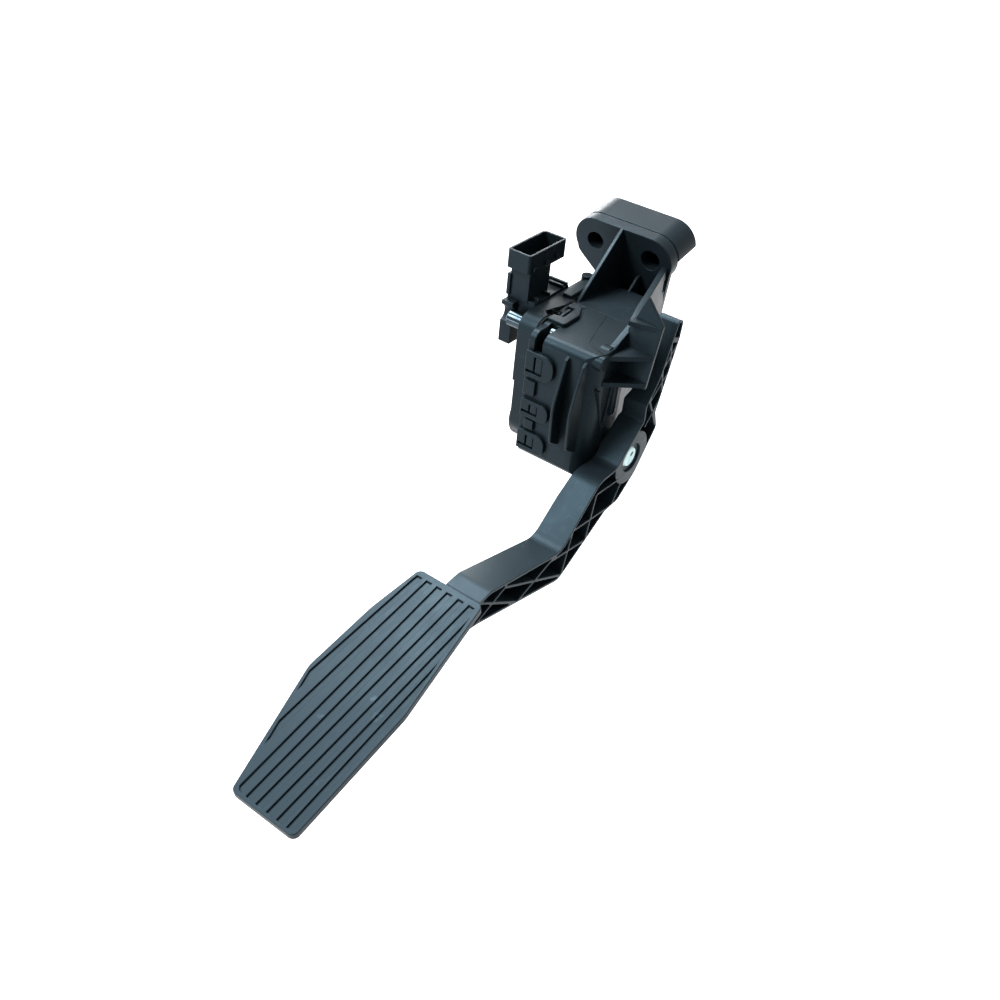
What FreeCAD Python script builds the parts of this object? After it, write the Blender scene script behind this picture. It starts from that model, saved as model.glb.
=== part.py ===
import FreeCAD, Part
import math
import os

from FreeCAD import Vector

# Electronic accelerator pedal, in millimetres.
# +X points to the ribbed side of the arm, +Y away from the driver along the bolts, +Z up.
# The origin is midway between the two bolts, on the face that meets the car.

# Mounting flange
HOLE_SPACING = 32.0
BOLT_BORE_R = 4.5
ACCESS_BORE_R = 5.2
ACCESS_DEPTH = 16.0
FLANGE_R = 12.0
FLANGE_DEPTH = 24.0
FLANGE_SEAM = 6.5
FLANGE_WEB = 3.0
FLANGE_WEB_TOP_R = 2.0
FLANGE_WEB_SIDE = -8.5
FLANGE_WEB_R = 6.0
FLANGE_WEB_INSET = 0.2
FLANGE_DROP = 30.0
SEAM_WIDTH = 0.6
SEAM_DEPTH = 0.5
FLANGE_CUT = ((29.0, 1.0), (9.0, -14.0), (29.0, -14.0))

# Pivot of the arm, the shaft along X
PIVOT_Y = -90.0
PIVOT_Z = -62.0
SHAFT_R = 5.5
SHAFT_SUNK = 0.8
SHAFT_CHAMFER = 0.8

# Clearances
RUNNING = 0.05
GAP = 0.3

# How far a cut or a joint reaches past a face, a length that clears the whole pedal, and the
# least length of an edge between two arcs
OVER = 1.0
FAR = 400.0
HAIR = 0.01

# Spring box, in its own frame: it leans back by BOX_TILT about X.
# Depths are measured forward from the origin, heights up from it.
BOX_TILT = 10.0
BOX_FRONT = 99.5
BOX_TOP = -20.0
BOX_HEIGHT = 65.5
BOX_LEFT = 5.0
BOX_RIGHT = 37.0
BOX_SIDE_R = 10.0
BOX_TOP_R = 5.0
BOX_FOOT_R = 6.0
BOX_REAR = 10.0
BOX_REAR_DROP = 6.0
BOX_REAR_SLOPE = 1.6
FLOOR_FRONT = (10.0, 7.5)
FLOOR_REAR = (14.0, 4.0)
WALL = 2.5
PIVOT_BOSS_R = 20.0
NECK_LEFT = -2.0
NECK_RIGHT = 24.8
NECK_REAR = 18.5
NECK_START = 61.0
TAPER_END = 72.0
PIT_FRONT = 29.5
PIT_CORNER_R = 7.0
PIT_FLOOR = -34.0
PIT_CHAMFER = (4.0, 8.0)
PIT_FIN = (3.0, -14.0, -14.4)
LEFT_RIB_END = (-9.6, -12.0)
LEFT_RIB_ROOT = -20.0

# Gussets, fins and ribs of the housing
RIB = 2.0
SIDE_RIB = 1.4
SIDE_RIB_PLACES = (82.0, 94.0)
SIDE_RIB_TOP = -38.0
SIDE_RIB_TIP = 86.0
SIDE_RIB_FOOT = -64.0
SIDE_PROUD = 0.9
SIDE_TUBE_R = 4.2
SIDE_TUBE_FORWARD = 77.0
SIDE_TUBE_FOOT = -57.0
GUSSET = 3.2
GUSSET_ROOT = 4.0
GUSSET_EDGE = ((18.0, -3.4), (24.6, -4.8), (46.0, -8.5), (59.0, -10.0), (71.0, -14.2),
               (80.0, -17.7), (91.0, -22.8))
SLOT_FORWARD = 23.6
SLOT_UP = -14.0
SLOT_LENGTH = 3.4
SLOT_HEIGHT = 6.0
FIN_PLACES = (20.9, 30.2)
FIN_THICKNESS = 1.6
FIN_HEIGHT = 8.5
FIN_TOP = 3.5
FIN_LENGTH = 48.0
FIN_R = 30.0
FIN_CREST = 28.24
FIN_TAIL = 5.0
FIN_TAPER = 1.5
FIN_X = 10.2
PARTING_WIDTH = 0.3
PARTING_DEPTH = 0.2
PARTING_ACROSS = ((8.0, 60.0), (34.0, 60.6))
PARTING_ALONG = ((17.0, 60.2), (25.6, 89.5))

# Stop plate and its shelves
STOP_RIGHT = 52.4
STOP_THICKNESS = 2.0
STOP_TOP = -8.0
STOP_PEAK_X = 41.5
STOP_PEAK = 2.1
STOP_INNER = -14.0
STOP_FORWARD = 72.3
STOP_SLOPE = 0.236
STOP_FOOT = -37.5
SHELF = 2.4
SHELF_HEIGHTS = (-8.6, -21.8, -34.6)
SHELF_DEPTHS = (77.0, 90.0, 92.0)
LUG_R = 3.7
LUG_FORWARD = 94.0
LUG_UP = -24.0
LUG_RIGHT = 38.0
LUG_LENGTH = 7.5
BUFFER = 1.0
BUFFER_SPAN = (2.5, 12.0)
BUFFER_INSET = 2.0

# Arm
ARM_GAP = 1.3
ARM_WIDTH = 13.5
ARM_LOW_WIDTH = 18.2
ARM_NOSE_INSET = 2.7
ARM_NOSE_R = 3.5
ARM_NOSE_END = -76.5
ARM_WALL = 1.3
ARM_WEB = 2.2
ARM_RIB = 1.3
ARM_TOP_Y = -50.2
ARM_LOW_START = -199.0
POCKET_R = 0.4
POCKET_LEAST = 0.7
ARM_STEP = -107.0
ARM_STEP_END = -130.0
ARM_SHOULDER = (6.0, 2.0)
ARM_STEP_R = (10.0, 20.0)
HUB_R = 14.0
HUB_RECESS = 2.1
HUB_RECESS_DEPTH = 1.2

# Ribs of the arm, as pairs of (y, z) points on its driver's-side and its far edge
HUB_RIBS = (((-99.5, -68.5), (-120.0, -63.2)), ((-98.0, -72.0), (-106.2, -81.7)))
LATTICE_LOW = (((-120.0, -63.2), (-106.2, -81.7)), ((-139.0, -71.4), (-128.5, -86.9)),
               ((-157.4, -76.2), (-148.4, -93.9)), ((-191.4, -61.6), (-183.3, -79.5)),
               ((-208.4, -55.9), (-213.0, -65.4)), ((-240.0, -56.0), (-245.0, -62.5)))
LATTICE_HIGH = (((-60.6, -10.2), (-54.8, -14.5)), ((-66.8, -23.5), (-60.4, -27.3)),
                ((-76.5, -36.5), (-66.0, -39.5)), ((-79.5, -50.0), (-69.5, -55.0)))
NOSE_RIB = ((-61.0, -9.6), (-53.6, -13.8))

# Edges of the arm as (y, z, radius) corners: the driver's side from the top down, the far
# side from the pad up
ARM_FRONT_EDGE = ((-55.8, -1.1, 2.3), (-69.7, -27.4, 8.0), (-80.2, -36.9, 3.0), (-80.9, -45.5, 2.0),
                  (-103.6, -59.2, 6.0), (-117.2, -56.7, 12.0), (-148.6, -76.9, 10.0),
                  (-201.0, -55.0, 12.0))
ARM_REAR_EDGE = ((-217.0, -63.9, 40.0), (-150.8, -95.2, 8.0), (-111.5, -81.1, 4.0),
                 (-100.5, -82.6, 5.0), (-85.5, -75.0, 8.0), (-67.6, -57.6, 3.0), (-70.0, -47.0, 3.0),
                 (-53.4, -12.5, 8.0), (-51.4, -4.0, 2.3))
ARM_TO_PAD = (0.8, -0.5)
KEEL_R = 1.5

# Foot pad
PAD_TOP_Y = -209.7
PAD_LEVEL = -54.0
PAD_LENGTH = 122.3
PAD_THICKNESS = 3.4
PAD_TOP_LEFT = 19.7
PAD_TOP_RIGHT = 54.0
PAD_LEFT = 16.6
PAD_RIGHT = 62.8
PAD_FOOT_LEFT = 32.3
PAD_FOOT_RIGHT = 64.0
PAD_BEND = 60.0
PAD_CORNER_R = 3.0
PAD_SHOULDER = (28.0, 60.0)
PAD_WAIST = (0.3, 5.0, 14.0)
PAD_BEND_R = 20.0
PAD_SLOPE = (1.15, 1.1)
GROOVE_WIDTH = 2.8
GROOVE_DEPTH = 0.9
GROOVE_MARGIN = 1.6
GROOVE_TOP_MARGIN = 3.3
# Left edge of each groove, in x, at the pad's top and at its foot
GROOVES = ((20.9, 16.2), (26.2, 25.0), (31.8, 33.7), (37.3, 38.7), (43.4, 43.7), (49.1, 49.1),
           (53.7, 54.2), (56.7, 59.1))
KEEL_LENGTH = 86.0
KEEL_DEPTH = 5.4

# Cross pin and the springs that push against it
PIN_R = 4.0
PIN_FORWARD = 86.5
PIN_UP = -25.4
PIN_LEFT = -20.6
LEVER_REACH = 32.0
LEVER_MID = 20.0
LEVER_WIDTH = 14.0
LEVER_HUB_R = 11.0
LEVER_THICKNESS = 7.0
LEVER_INSET = 3.0
CUP_LIP = 0.25
SPIGOT_LENGTH = 5.6
SEAT_INSET = 1.2
STEM = 8.0
CUP_R = 9.6
CUP_THICKNESS = 2.6
SEAT_FACE = 8.0
OUTER_SPRING_R = 8.6
OUTER_WIRE_R = 1.1
OUTER_TURNS = 5.0
INNER_SPRING_R = 5.2
INNER_WIRE_R = 0.8
INNER_TURNS = 7.0
SHOE_ANGLE = 60.0
SHOE_WIDTH = 10.0
SHOE_REACH = 40.0
STOP_FINGER = 5.0
STOP_FINGER_REACH = 4.6
STOP_PAD_REACH = 5.6
STOP_PAD_GAP = 0.8
STOP_PAD_HALF = 4.0
LEDGE = 3.0
LEDGE_GAP = 0.6
PIN_BOSS = 2.0
PIN_BOSS_LENGTH = 6.0
STOP_PAD = 3.0

# Bearings and the sensor on the shaft's left end
BUSH_WALL = 2.0
BUSH_LENGTH = 7.0
WASHER = 1.0
RING_R = 8.5
RING = 0.8
ROTOR_R = 9.0
ROTOR_DEPTH = 2.4
MAGNET_R = 6.5
MAGNET_DEPTH = 1.2
MAGNET_WIDTH = 1.2
WASHER_WIDTH = 3.0

# Left side: housing cover, seal and sensor cover
COVER_WIDTH = 5.5
COVER_GAP = 0.1
SEAL = 0.8
SEAL_INSET = 0.4
SENSOR_FRONT = 94.0
SENSOR_REAR = 36.0
SENSOR_TOP = -18.0
SENSOR_FOOT = -84.0
SENSOR_DEPTH = 9.6
SENSOR_STEP = 1.0
SENSOR_STEP_HEIGHT = 35.0
SENSOR_WALL = 1.4
SENSOR_BOSS_R = 14.0
SENSOR_BOSS = 2.0
SENSOR_FRONT_R = 8.0
SENSOR_FOOT_R = 10.0
SENSOR_REAR_R = 4.0
SENSOR_TOP_R = 3.0
SENSOR_HEEL = (12.0, 3.0)
SENSOR_REAR_HEIGHT = 30.0
KNOB_R = 3.0
KNOB_HEIGHT = 4.0
KNOB_INSET = (1.5, 3.4)
STRAP_INSET = (2.0, 4.0)
STRAP = 1.6
LOOP_LENGTH = 10.9
LOOP_THICKNESS = 2.0
LOOP_BORDER = 2.2
LOOP_SLOT = 1.3
CATCH_LENGTH = 3.8
CATCH_GAP = 0.8
LOOP_PLACES = ((-35.3, 13.4), (-59.3, 9.6), (-77.4, 11.0))
COVER_BLOCKS = ((0.1, 6.7, -52.0, -44.3), (2.7, 8.2, -70.5, -65.5))
COVER_BLOCK = 1.6
LOOP_INSET = 0.5
STRAP_RIGHT = 3.0
PIN_WINDOW = 4.2
TOP_LOOP = ((9.3, 85.7, 1.5), (9.3, 72.8, 4.0), (6.1, 66.2, 2.0), (1.9, 63.3, 1.0))
TOP_WINDOW = ((0.6, 69.4), (4.2, 69.0), (5.0, 79.6), (1.2, 80.0))
TOP_ISLAND = ((1.8, 71.4), (3.4, 71.2), (4.0, 79.6), (2.2, 80.0))

# Circuit board
BOARD = 1.2
BOARD_POST = 0.4
POST_R = 2.0
POST_INSETS = ((3.0, 4.0), (4.0, 30.0))
BOARD_TOP_R = 3.0
BOARD_FOOT_R = 6.0
CHIP = 1.0
CHIPS = ((76.0, -38.0, 4.0, 5.0), (68.0, -36.0, 3.0, 3.0), (84.0, -46.0, 1.6, 0.8),
         (80.0, -48.0, 1.6, 0.8), (70.0, -50.0, 1.6, 0.8), (66.0, -44.0, 1.6, 0.8))
BOARD_FRONT = 90.0
BOARD_REAR = 62.0
BOARD_TOP = -24.0
BOARD_FOOT = -82.0

# Plug socket
SOCKET_WIDTH = 13.4
SOCKET_LENGTH = 30.0
SOCKET_FRONT = 84.2
SOCKET_TOP = 7.0
SOCKET_DEPTH = 20.0
SOCKET_WALL = 1.3
SOCKET_BASE = -17.0
SOCKET_COLLAR = 9.3
SOCKET_STEP = 1.2
SOCKET_HEEL = 10.0
SOCKET_TOE = 2.8
SOCKET_CORNER_R = 1.5
SOCKET_REAR_R = 2.5
BLOCK_WIDTH = 16.3
BLOCK_REAR = 52.0
BLOCK_FRONT = 81.0
BLOCK_FLOOR = -32.0
PLATE_WIDTH = 6.6
PLATE_FRONT = 85.2
PLATE_TOP = -19.0
PLATE_ROOT = 8.0
FLARE = (2.0, 9.0, 11.0)
BAR = 1.4
BAR_HEIGHT = 1.6
BRACKET_BARS = ((52.8, -21.8), (56.7, -19.2), (68.0, -17.7), (76.8, -16.9))
PEG_R = 1.2
PEG_PLACES = ((62.8, 1.1), (71.0, 0.2), (80.7, -0.1))
BLOCK_FOOT = -41.0
TERMINAL_COUNT = 6
TERMINAL_PITCH = 2.5
TERMINAL = 0.7
TERMINAL_HEIGHT = 9.0
TERMINAL_DROP = 8.0

# Places that follow from the sizes above
TILT = math.radians(BOX_TILT)
SEAL_STEP = NECK_START + GAP
BUSH_R = SHAFT_R + RUNNING + BUSH_WALL
PIVOT_FORWARD = -PIVOT_Y * math.cos(TILT) + PIVOT_Z * math.sin(TILT)
PIVOT_UP = PIVOT_Y * math.sin(TILT) + PIVOT_Z * math.cos(TILT)
BOX_FOOT = BOX_TOP - BOX_HEIGHT
ARM_LEFT = BOX_RIGHT + ARM_GAP
ARM_RIGHT = ARM_LEFT + ARM_WIDTH
ARM_LOW_LEFT = ARM_RIGHT - ARM_LOW_WIDTH
COVER_LEFT = BOX_LEFT - COVER_WIDTH
SENSOR_LEFT = COVER_LEFT - SENSOR_DEPTH
SPIGOT_R = INNER_SPRING_R - 2 * INNER_WIRE_R - GAP
SHAFT_LEFT = COVER_LEFT - RING - GAP - ROTOR_DEPTH - GAP
BOARD_LEFT = SENSOR_LEFT + SENSOR_WALL + BOARD_POST


def rounded_wire(corners, place):
    """A closed wire through corners (a, b) or (a, b, radius), set in space by place(a, b)."""
    count = len(corners)
    starts, ends, middles = [], [], []
    for index in range(count):
        a, b = corners[index][:2]
        radius = corners[index][2] if len(corners[index]) > 2 else 0.0
        corner = Vector(a, b, 0)
        back = Vector(*corners[index - 1][:2], 0) - corner
        ahead = Vector(*corners[(index + 1) % count][:2], 0) - corner
        back.normalize()
        ahead.normalize()
        if radius == 0.0:
            starts.append(corner)
            ends.append(corner)
            middles.append(None)
            continue
        half = back.getAngle(ahead) / 2
        reach = radius / math.tan(half)
        towards = back + ahead
        towards.normalize()
        starts.append(corner + back * reach)
        ends.append(corner + ahead * reach)
        middles.append(corner + towards * (radius / math.sin(half) - radius))
    edges = []
    for index in range(count):
        if middles[index] is not None:
            points = [place(p.x, p.y) for p in (starts[index], middles[index], ends[index])]
            edges.append(Part.Arc(*points).toShape())
        first, last = ends[index], starts[(index + 1) % count]
        if (last - first).Length > 1e-6:
            edges.append(Part.LineSegment(place(first.x, first.y), place(last.x, last.y)).toShape())
    return Part.Wire(edges)


def prism_x(corners, left, right):
    """A solid from an outline of (y, z) corners, from x = left to x = right."""
    wire = rounded_wire(corners, lambda y, z: Vector(left, y, z))
    return Part.Face(wire).extrude(Vector(right - left, 0, 0))


def prism_z(corners, low, high):
    """A solid from an outline of (x, y) corners, from z = low to z = high."""
    wire = rounded_wire(corners, lambda x, y: Vector(x, y, low))
    return Part.Face(wire).extrude(Vector(0, 0, high - low))


def side_prism(corners, left, right):
    """A solid from an outline of (forward, up) corners in the frame of the spring box."""
    flipped = [(-corner[0],) + tuple(corner[1:]) for corner in corners]
    return prism_x(flipped, left, right)


def plan_prism(corners, low, high):
    """A solid from an outline of (x, forward) corners in the frame of the spring box."""
    flipped = [(corner[0], -corner[1]) + tuple(corner[2:]) for corner in corners]
    return prism_z(flipped, low, high)


def block(x0, x1, forward0, forward1, up0, up1):
    """A box between two corners in the frame of the spring box."""
    corner = Vector(x0, -forward1, up0)
    return Part.makeBox(x1 - x0, forward1 - forward0, up1 - up0, corner)


def cylinder_x(forward, up, radius, left, right):
    """A cylinder along X in the frame of the spring box."""
    return Part.makeCylinder(radius, right - left, Vector(left, -forward, up), Vector(1, 0, 0))


def pivot_cylinder(radius, left, right):
    """A cylinder about the pivot, in the frame of the spring box."""
    return cylinder_x(PIVOT_FORWARD, PIVOT_UP, radius, left, right)


def pivot_ring(outer, inner, left, right):
    """A ring about the pivot, in the frame of the spring box."""
    return pivot_cylinder(outer, left, right).cut(pivot_cylinder(inner, left, right))


def lean(shape):
    """The shape, moved from the frame of the spring box to that of the pedal."""
    leaned = shape.copy()
    leaned.rotate(Vector(0, 0, 0), Vector(1, 0, 0), -BOX_TILT)
    return leaned


def joined(first, others):
    """One solid from several that meet."""
    return first.fuse(others).removeSplitter()


def flange():
    """Mounting flange: a stadium, and the thin web that runs down from it to the neck."""
    half = HOLE_SPACING / 2
    reach = half + FLANGE_R
    wire = rounded_wire(stadium(0.0), lambda x, z: Vector(x, -FLANGE_DEPTH, z))
    body = Part.Face(wire).extrude(Vector(0, FLANGE_DEPTH, 0))
    behind = FLANGE_SEAM - FLANGE_DEPTH
    wire = rounded_wire(FLANGE_CUT, lambda x, z: Vector(x, behind, z))
    body = body.cut(Part.Face(wire).extrude(Vector(0, FLANGE_DEPTH, 0)))
    top = FLANGE_R - SEAM_DEPTH
    end = reach - FLANGE_WEB_INSET
    taper = [(-end, 0), (-half, top, FLANGE_WEB_TOP_R), (half, top, FLANGE_WEB_TOP_R), (end, 0),
             (NECK_RIGHT - OVER, -FLANGE_DROP), (NECK_LEFT, -FLANGE_DROP),
             (-reach + 2.0, FLANGE_WEB_SIDE, FLANGE_WEB_R)]
    wire = rounded_wire(taper, lambda x, z: Vector(x, -FLANGE_DEPTH, z))
    return joined(body, [Part.Face(wire).extrude(Vector(0, FLANGE_WEB, 0))])


def stadium(extra):
    """The flange's outline as (x, z, radius) corners, grown by an extra margin."""
    reach = HOLE_SPACING / 2 + FLANGE_R + extra
    edge = FLANGE_R + extra
    radius = edge - HAIR
    return [(-reach, -edge, radius), (reach, -edge, radius), (reach, edge, radius), (-reach, edge, radius)]


def flange_bores():
    """The two bolt bores, with the wider access bore over the right one."""
    bores = []
    for side in (-1, 1):
        start = Vector(side * HOLE_SPACING / 2, -FLANGE_DEPTH - OVER, 0)
        bores.append(Part.makeCylinder(BOLT_BORE_R, FLANGE_DEPTH + 2, start, Vector(0, 1, 0)))
    bores.append(Part.makeCylinder(ACCESS_BORE_R, ACCESS_DEPTH + OVER, start, Vector(0, 1, 0)))
    return bores


def flange_seam():
    """The shallow groove round the flange where its front part meets the boss behind."""
    y = FLANGE_SEAM - FLANGE_DEPTH
    walls = []
    for extra in (2.0, -SEAM_DEPTH):
        wire = rounded_wire(stadium(extra), lambda x, z: Vector(x, y, z))
        walls.append(Part.Face(wire).extrude(Vector(0, SEAM_WIDTH, 0)))
    return walls[0].cut(walls[1])


def box_side(inset):
    """Side outline of the spring box as (forward, up, radius) corners, inset by a wall."""
    foot = BOX_FOOT + inset
    rear = BOX_REAR + inset * BOX_REAR_SLOPE
    return [(BOX_FRONT - inset, BOX_TOP - inset, BOX_TOP_R - inset / 2),
            (BOX_FRONT - inset, foot, BOX_FOOT_R - inset / 2),
            (PIVOT_FORWARD + FLOOR_FRONT[0], foot - FLOOR_FRONT[1]),
            (PIVOT_FORWARD - FLOOR_REAR[0], foot - FLOOR_REAR[1]),
            (rear, BOX_TOP - BOX_REAR_DROP + inset), (rear, BOX_TOP - inset)]


def neck_side(forward):
    """How far to the right the neck reaches, between the flange and the box."""
    share = (forward - NECK_REAR) / (TAPER_END - NECK_REAR)
    return NECK_RIGHT + (BOX_RIGHT - NECK_RIGHT) * share


def box_shell():
    """Outside of the spring box and the neck that joins it to the flange."""
    plan = [(BOX_LEFT, BOX_FRONT), (BOX_RIGHT, BOX_FRONT, BOX_SIDE_R), (BOX_RIGHT, TAPER_END),
            (NECK_RIGHT, NECK_REAR), (NECK_LEFT, NECK_REAR), (NECK_LEFT, NECK_START), (BOX_LEFT, NECK_START)]
    low, high = PIVOT_UP - PIVOT_BOSS_R - OVER, BOX_TOP + 1
    outside = side_prism(box_side(0.0), NECK_LEFT - OVER, BOX_RIGHT + OVER)
    outside = joined(outside, [pivot_cylinder(PIVOT_BOSS_R, NECK_LEFT - OVER, BOX_RIGHT + OVER)])
    return outside.common(plan_prism(plan, low, high))


def neck_pit():
    """The deep pocket in the top of the neck, right behind the flange."""
    left = NECK_LEFT + RIB
    plan = [(left, NECK_REAR - 2.0), (neck_side(NECK_REAR) - GUSSET, NECK_REAR - 2.0),
            (neck_side(PIT_FRONT) - GUSSET, PIT_FRONT), (left + PIT_CHAMFER[0], PIT_FRONT, PIT_CORNER_R),
            (left, PIT_FRONT + PIT_CHAMFER[1])]
    pit = plan_prism(plan, PIT_FLOOR, BOX_TOP + GUSSET_ROOT)
    behind = Part.makeBox(FAR, FAR, FAR, Vector(-FAR / 2, -FLANGE_DEPTH, -FAR / 2))
    behind.rotate(Vector(0, 0, 0), Vector(1, 0, 0), BOX_TILT)
    return pit.cut(behind)


def box_cavity():
    """Room inside the spring box, open on the left where the housing cover closes it."""
    corner = BOX_SIDE_R - WALL
    rear = PIT_FRONT + WALL
    plan = [(BOX_LEFT - OVER, BOX_FRONT - WALL), (BOX_RIGHT - WALL, BOX_FRONT - WALL, corner),
            (BOX_RIGHT - WALL, TAPER_END), (neck_side(rear) - WALL, rear),
            (NECK_LEFT + RIB + PIT_CORNER_R, rear), (NECK_LEFT + WALL, rear + PIT_CORNER_R),
            (NECK_LEFT + WALL, NECK_START + WALL), (BOX_LEFT - OVER, NECK_START + WALL)]
    low, high = PIVOT_UP - PIVOT_BOSS_R - OVER, BOX_TOP + 1
    inside = side_prism(box_side(WALL), NECK_LEFT - OVER, BOX_RIGHT + OVER)
    drum = pivot_cylinder(PIVOT_BOSS_R - WALL, NECK_LEFT - OVER, BOX_RIGHT + OVER)
    return joined(inside, [drum]).common(plan_prism(plan, low, high))


def left_rib():
    """Thin gusset from the flange's top edge down to the top of the box."""
    corners = [(-FLANGE_DEPTH + OVER, FLANGE_R), (-FLANGE_DEPTH, FLANGE_R),
               (-NECK_START - OVER, LEFT_RIB_END[0]), (-NECK_START - OVER, LEFT_RIB_END[1]),
               (-FLANGE_DEPTH + OVER, LEFT_RIB_ROOT)]
    return prism_x(corners, NECK_LEFT, NECK_LEFT + RIB)


def right_gusset():
    """Wall that runs from the flange's right end along the right edge of the box."""
    root = BOX_TOP - GUSSET_ROOT
    side = list(GUSSET_EDGE) + [(GUSSET_EDGE[-1][0], root), (GUSSET_EDGE[0][0], root)]
    line = [(neck_side(forward), forward) for forward in (GUSSET_EDGE[0][0], TAPER_END)]
    line.append((BOX_RIGHT, GUSSET_EDGE[-1][0] + OVER))
    plan = line + [(x - GUSSET, forward) for x, forward in reversed(line)]
    wall = side_prism(side, NECK_LEFT, BOX_RIGHT + 2).common(plan_prism(plan, -FAR, FAR))
    slot = block(NECK_RIGHT - 2 * GUSSET, NECK_RIGHT + 2 * GUSSET, SLOT_FORWARD - SLOT_LENGTH / 2,
                 SLOT_FORWARD + SLOT_LENGTH / 2, SLOT_UP - SLOT_HEIGHT / 2, SLOT_UP + SLOT_HEIGHT / 2)
    return wall.cut(slot)


def front_fins():
    """Two tapered fins that stand on the front of the box."""
    fins = []
    root = BOX_FRONT - 1.0
    for x in FIN_PLACES:
        side = [(root, BOX_TOP - FIN_TOP), (BOX_FRONT + 2.0, BOX_TOP - FIN_TOP - 2.0),
                (BOX_FRONT + FIN_HEIGHT, BOX_TOP - FIN_CREST, FIN_R),
                (BOX_FRONT + FIN_HEIGHT - FIN_TAPER, BOX_TOP - FIN_LENGTH, 1.0),
                (root, BOX_TOP - FIN_LENGTH - FIN_TAIL)]
        fins.append(side_prism(side, x, x + FIN_THICKNESS))
    return fins


def stop_front(up):
    """How far forward the front face of the stop plate is at a height."""
    return STOP_FORWARD - STOP_SLOPE * (up - STOP_TOP)


def stop_plate():
    """Plate that ends the pedal's travel, with the shelves that brace it to the box."""
    top, foot = stop_front(STOP_PEAK), stop_front(STOP_FOOT)
    side = [(top, STOP_PEAK), (foot, STOP_FOOT), (foot - STOP_THICKNESS, STOP_FOOT),
            (top - STOP_THICKNESS, STOP_PEAK)]
    inner = BOX_RIGHT - 1
    face = [(inner, STOP_FOOT), (STOP_RIGHT, STOP_FOOT), (STOP_RIGHT, STOP_TOP),
            (STOP_PEAK_X, STOP_PEAK), (inner, STOP_INNER)]
    wire = rounded_wire(face, lambda x, up: Vector(x, -BOX_FRONT, up))
    shield = Part.Face(wire).extrude(Vector(0, BOX_FRONT, 0))
    pieces = [side_prism(side, inner, STOP_RIGHT).common(shield)]
    for up, depth in zip(SHELF_HEIGHTS, SHELF_DEPTHS):
        front = stop_front(up)
        root = front - STOP_THICKNESS / 2
        ends = [(inner, root), (inner, depth)] if up < BOX_TOP else [(BOX_RIGHT, root)]
        plan = [(BOX_RIGHT, depth), (STOP_RIGHT, front), (STOP_RIGHT, root)] + ends
        pieces.append(plan_prism(plan, up - SHELF, up))
    pieces.append(cylinder_x(LUG_FORWARD, LUG_UP, LUG_R, LUG_RIGHT - LUG_LENGTH, LUG_RIGHT))
    return pieces


def side_ribs():
    """Small ribs on the right side of the box, under the shelves."""
    pieces = []
    for forward in SIDE_RIB_PLACES:
        line = [(forward, SIDE_RIB_TOP), (forward + SIDE_RIB, SIDE_RIB_TOP),
                (SIDE_RIB_TIP + SIDE_RIB, SIDE_RIB_FOOT), (SIDE_RIB_TIP, SIDE_RIB_FOOT)]
        pieces.append(side_prism(line, BOX_RIGHT - WALL, BOX_RIGHT + SIDE_PROUD))
    radius = SIDE_TUBE_R
    start = Vector(BOX_RIGHT + SIDE_PROUD - radius, -SIDE_TUBE_FORWARD, SIDE_TUBE_FOOT)
    tube = Part.makeCylinder(radius, SIDE_RIB_TOP - SIDE_TUBE_FOOT, start)
    return pieces + [tube, Part.makeSphere(radius, start)]


def housing():
    """Flange, gussets, spring box and stop plate: one moulding."""
    bearing = pivot_cylinder(BUSH_R + WALL, BOX_RIGHT - BUSH_LENGTH, BOX_RIGHT)
    ledge_top = PIVOT_UP - STOP_FINGER / 2 - GAP - STOP_PAD
    ledge = block(BOX_LEFT + WALL, BOX_RIGHT - WALL, PIVOT_FORWARD - PIVOT_BOSS_R + OVER,
                  PIVOT_FORWARD - LEVER_HUB_R - LEDGE_GAP, ledge_top - LEDGE, ledge_top)
    shell = box_shell().cut(neck_pit())
    shell = joined(shell, [right_gusset(), pit_fin()] + front_fins() + stop_plate() + side_ribs())
    shell = shell.cut(box_cavity())
    shell = joined(shell, [bearing, ledge, cross_pin_boss()] + front_catches())
    shell = shell.cut(pivot_cylinder(BUSH_R, BOX_RIGHT - BUSH_LENGTH - OVER, BOX_RIGHT + OVER))
    shell = shell.cut(cylinder_x(PIN_FORWARD, PIN_UP, PIN_R, 0.0, BOX_RIGHT - WALL))
    shell = shell.cut([pin_window()] + parting_lines())
    body = joined(flange(), [lean(shell), left_rib()])
    body = body.cut(flange_seam())
    for bore in flange_bores():
        body = body.cut(bore)
    return body


def loop_window(up, height):
    """Low and high edge of the window in a snap loop of a height."""
    half = height / 2 - LOOP_BORDER
    return up - half, up + half


def front_catches():
    """Catches on the front of the box, one that fills the window of each snap loop."""
    catches = []
    start = BOX_LEFT + CATCH_GAP
    for up, height in LOOP_PLACES:
        low, high = loop_window(up, height)
        catches.append(block(start, start + CATCH_LENGTH, BOX_FRONT - OVER, BOX_FRONT + LOOP_THICKNESS,
                             low + LOOP_SLOT, high - RUNNING))
    return catches


def cross_pin_boss():
    """Boss on the right wall that holds the end of the cross pin."""
    return cylinder_x(PIN_FORWARD, PIN_UP, PIN_R + PIN_BOSS, BOX_RIGHT - PIN_BOSS_LENGTH, BOX_RIGHT - OVER)


def pit_fin():
    """The short fin that stands in the pit behind the flange."""
    inset, top, shoulder = PIT_FIN
    rear, front = NECK_REAR + inset, PIT_FRONT + inset
    side = [(rear, top), (rear + inset, shoulder), (front, BOX_TOP - OVER), (front, PIT_FLOOR - OVER),
            (rear, PIT_FLOOR - OVER)]
    return side_prism(side, FIN_X, FIN_X + FIN_THICKNESS)


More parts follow.
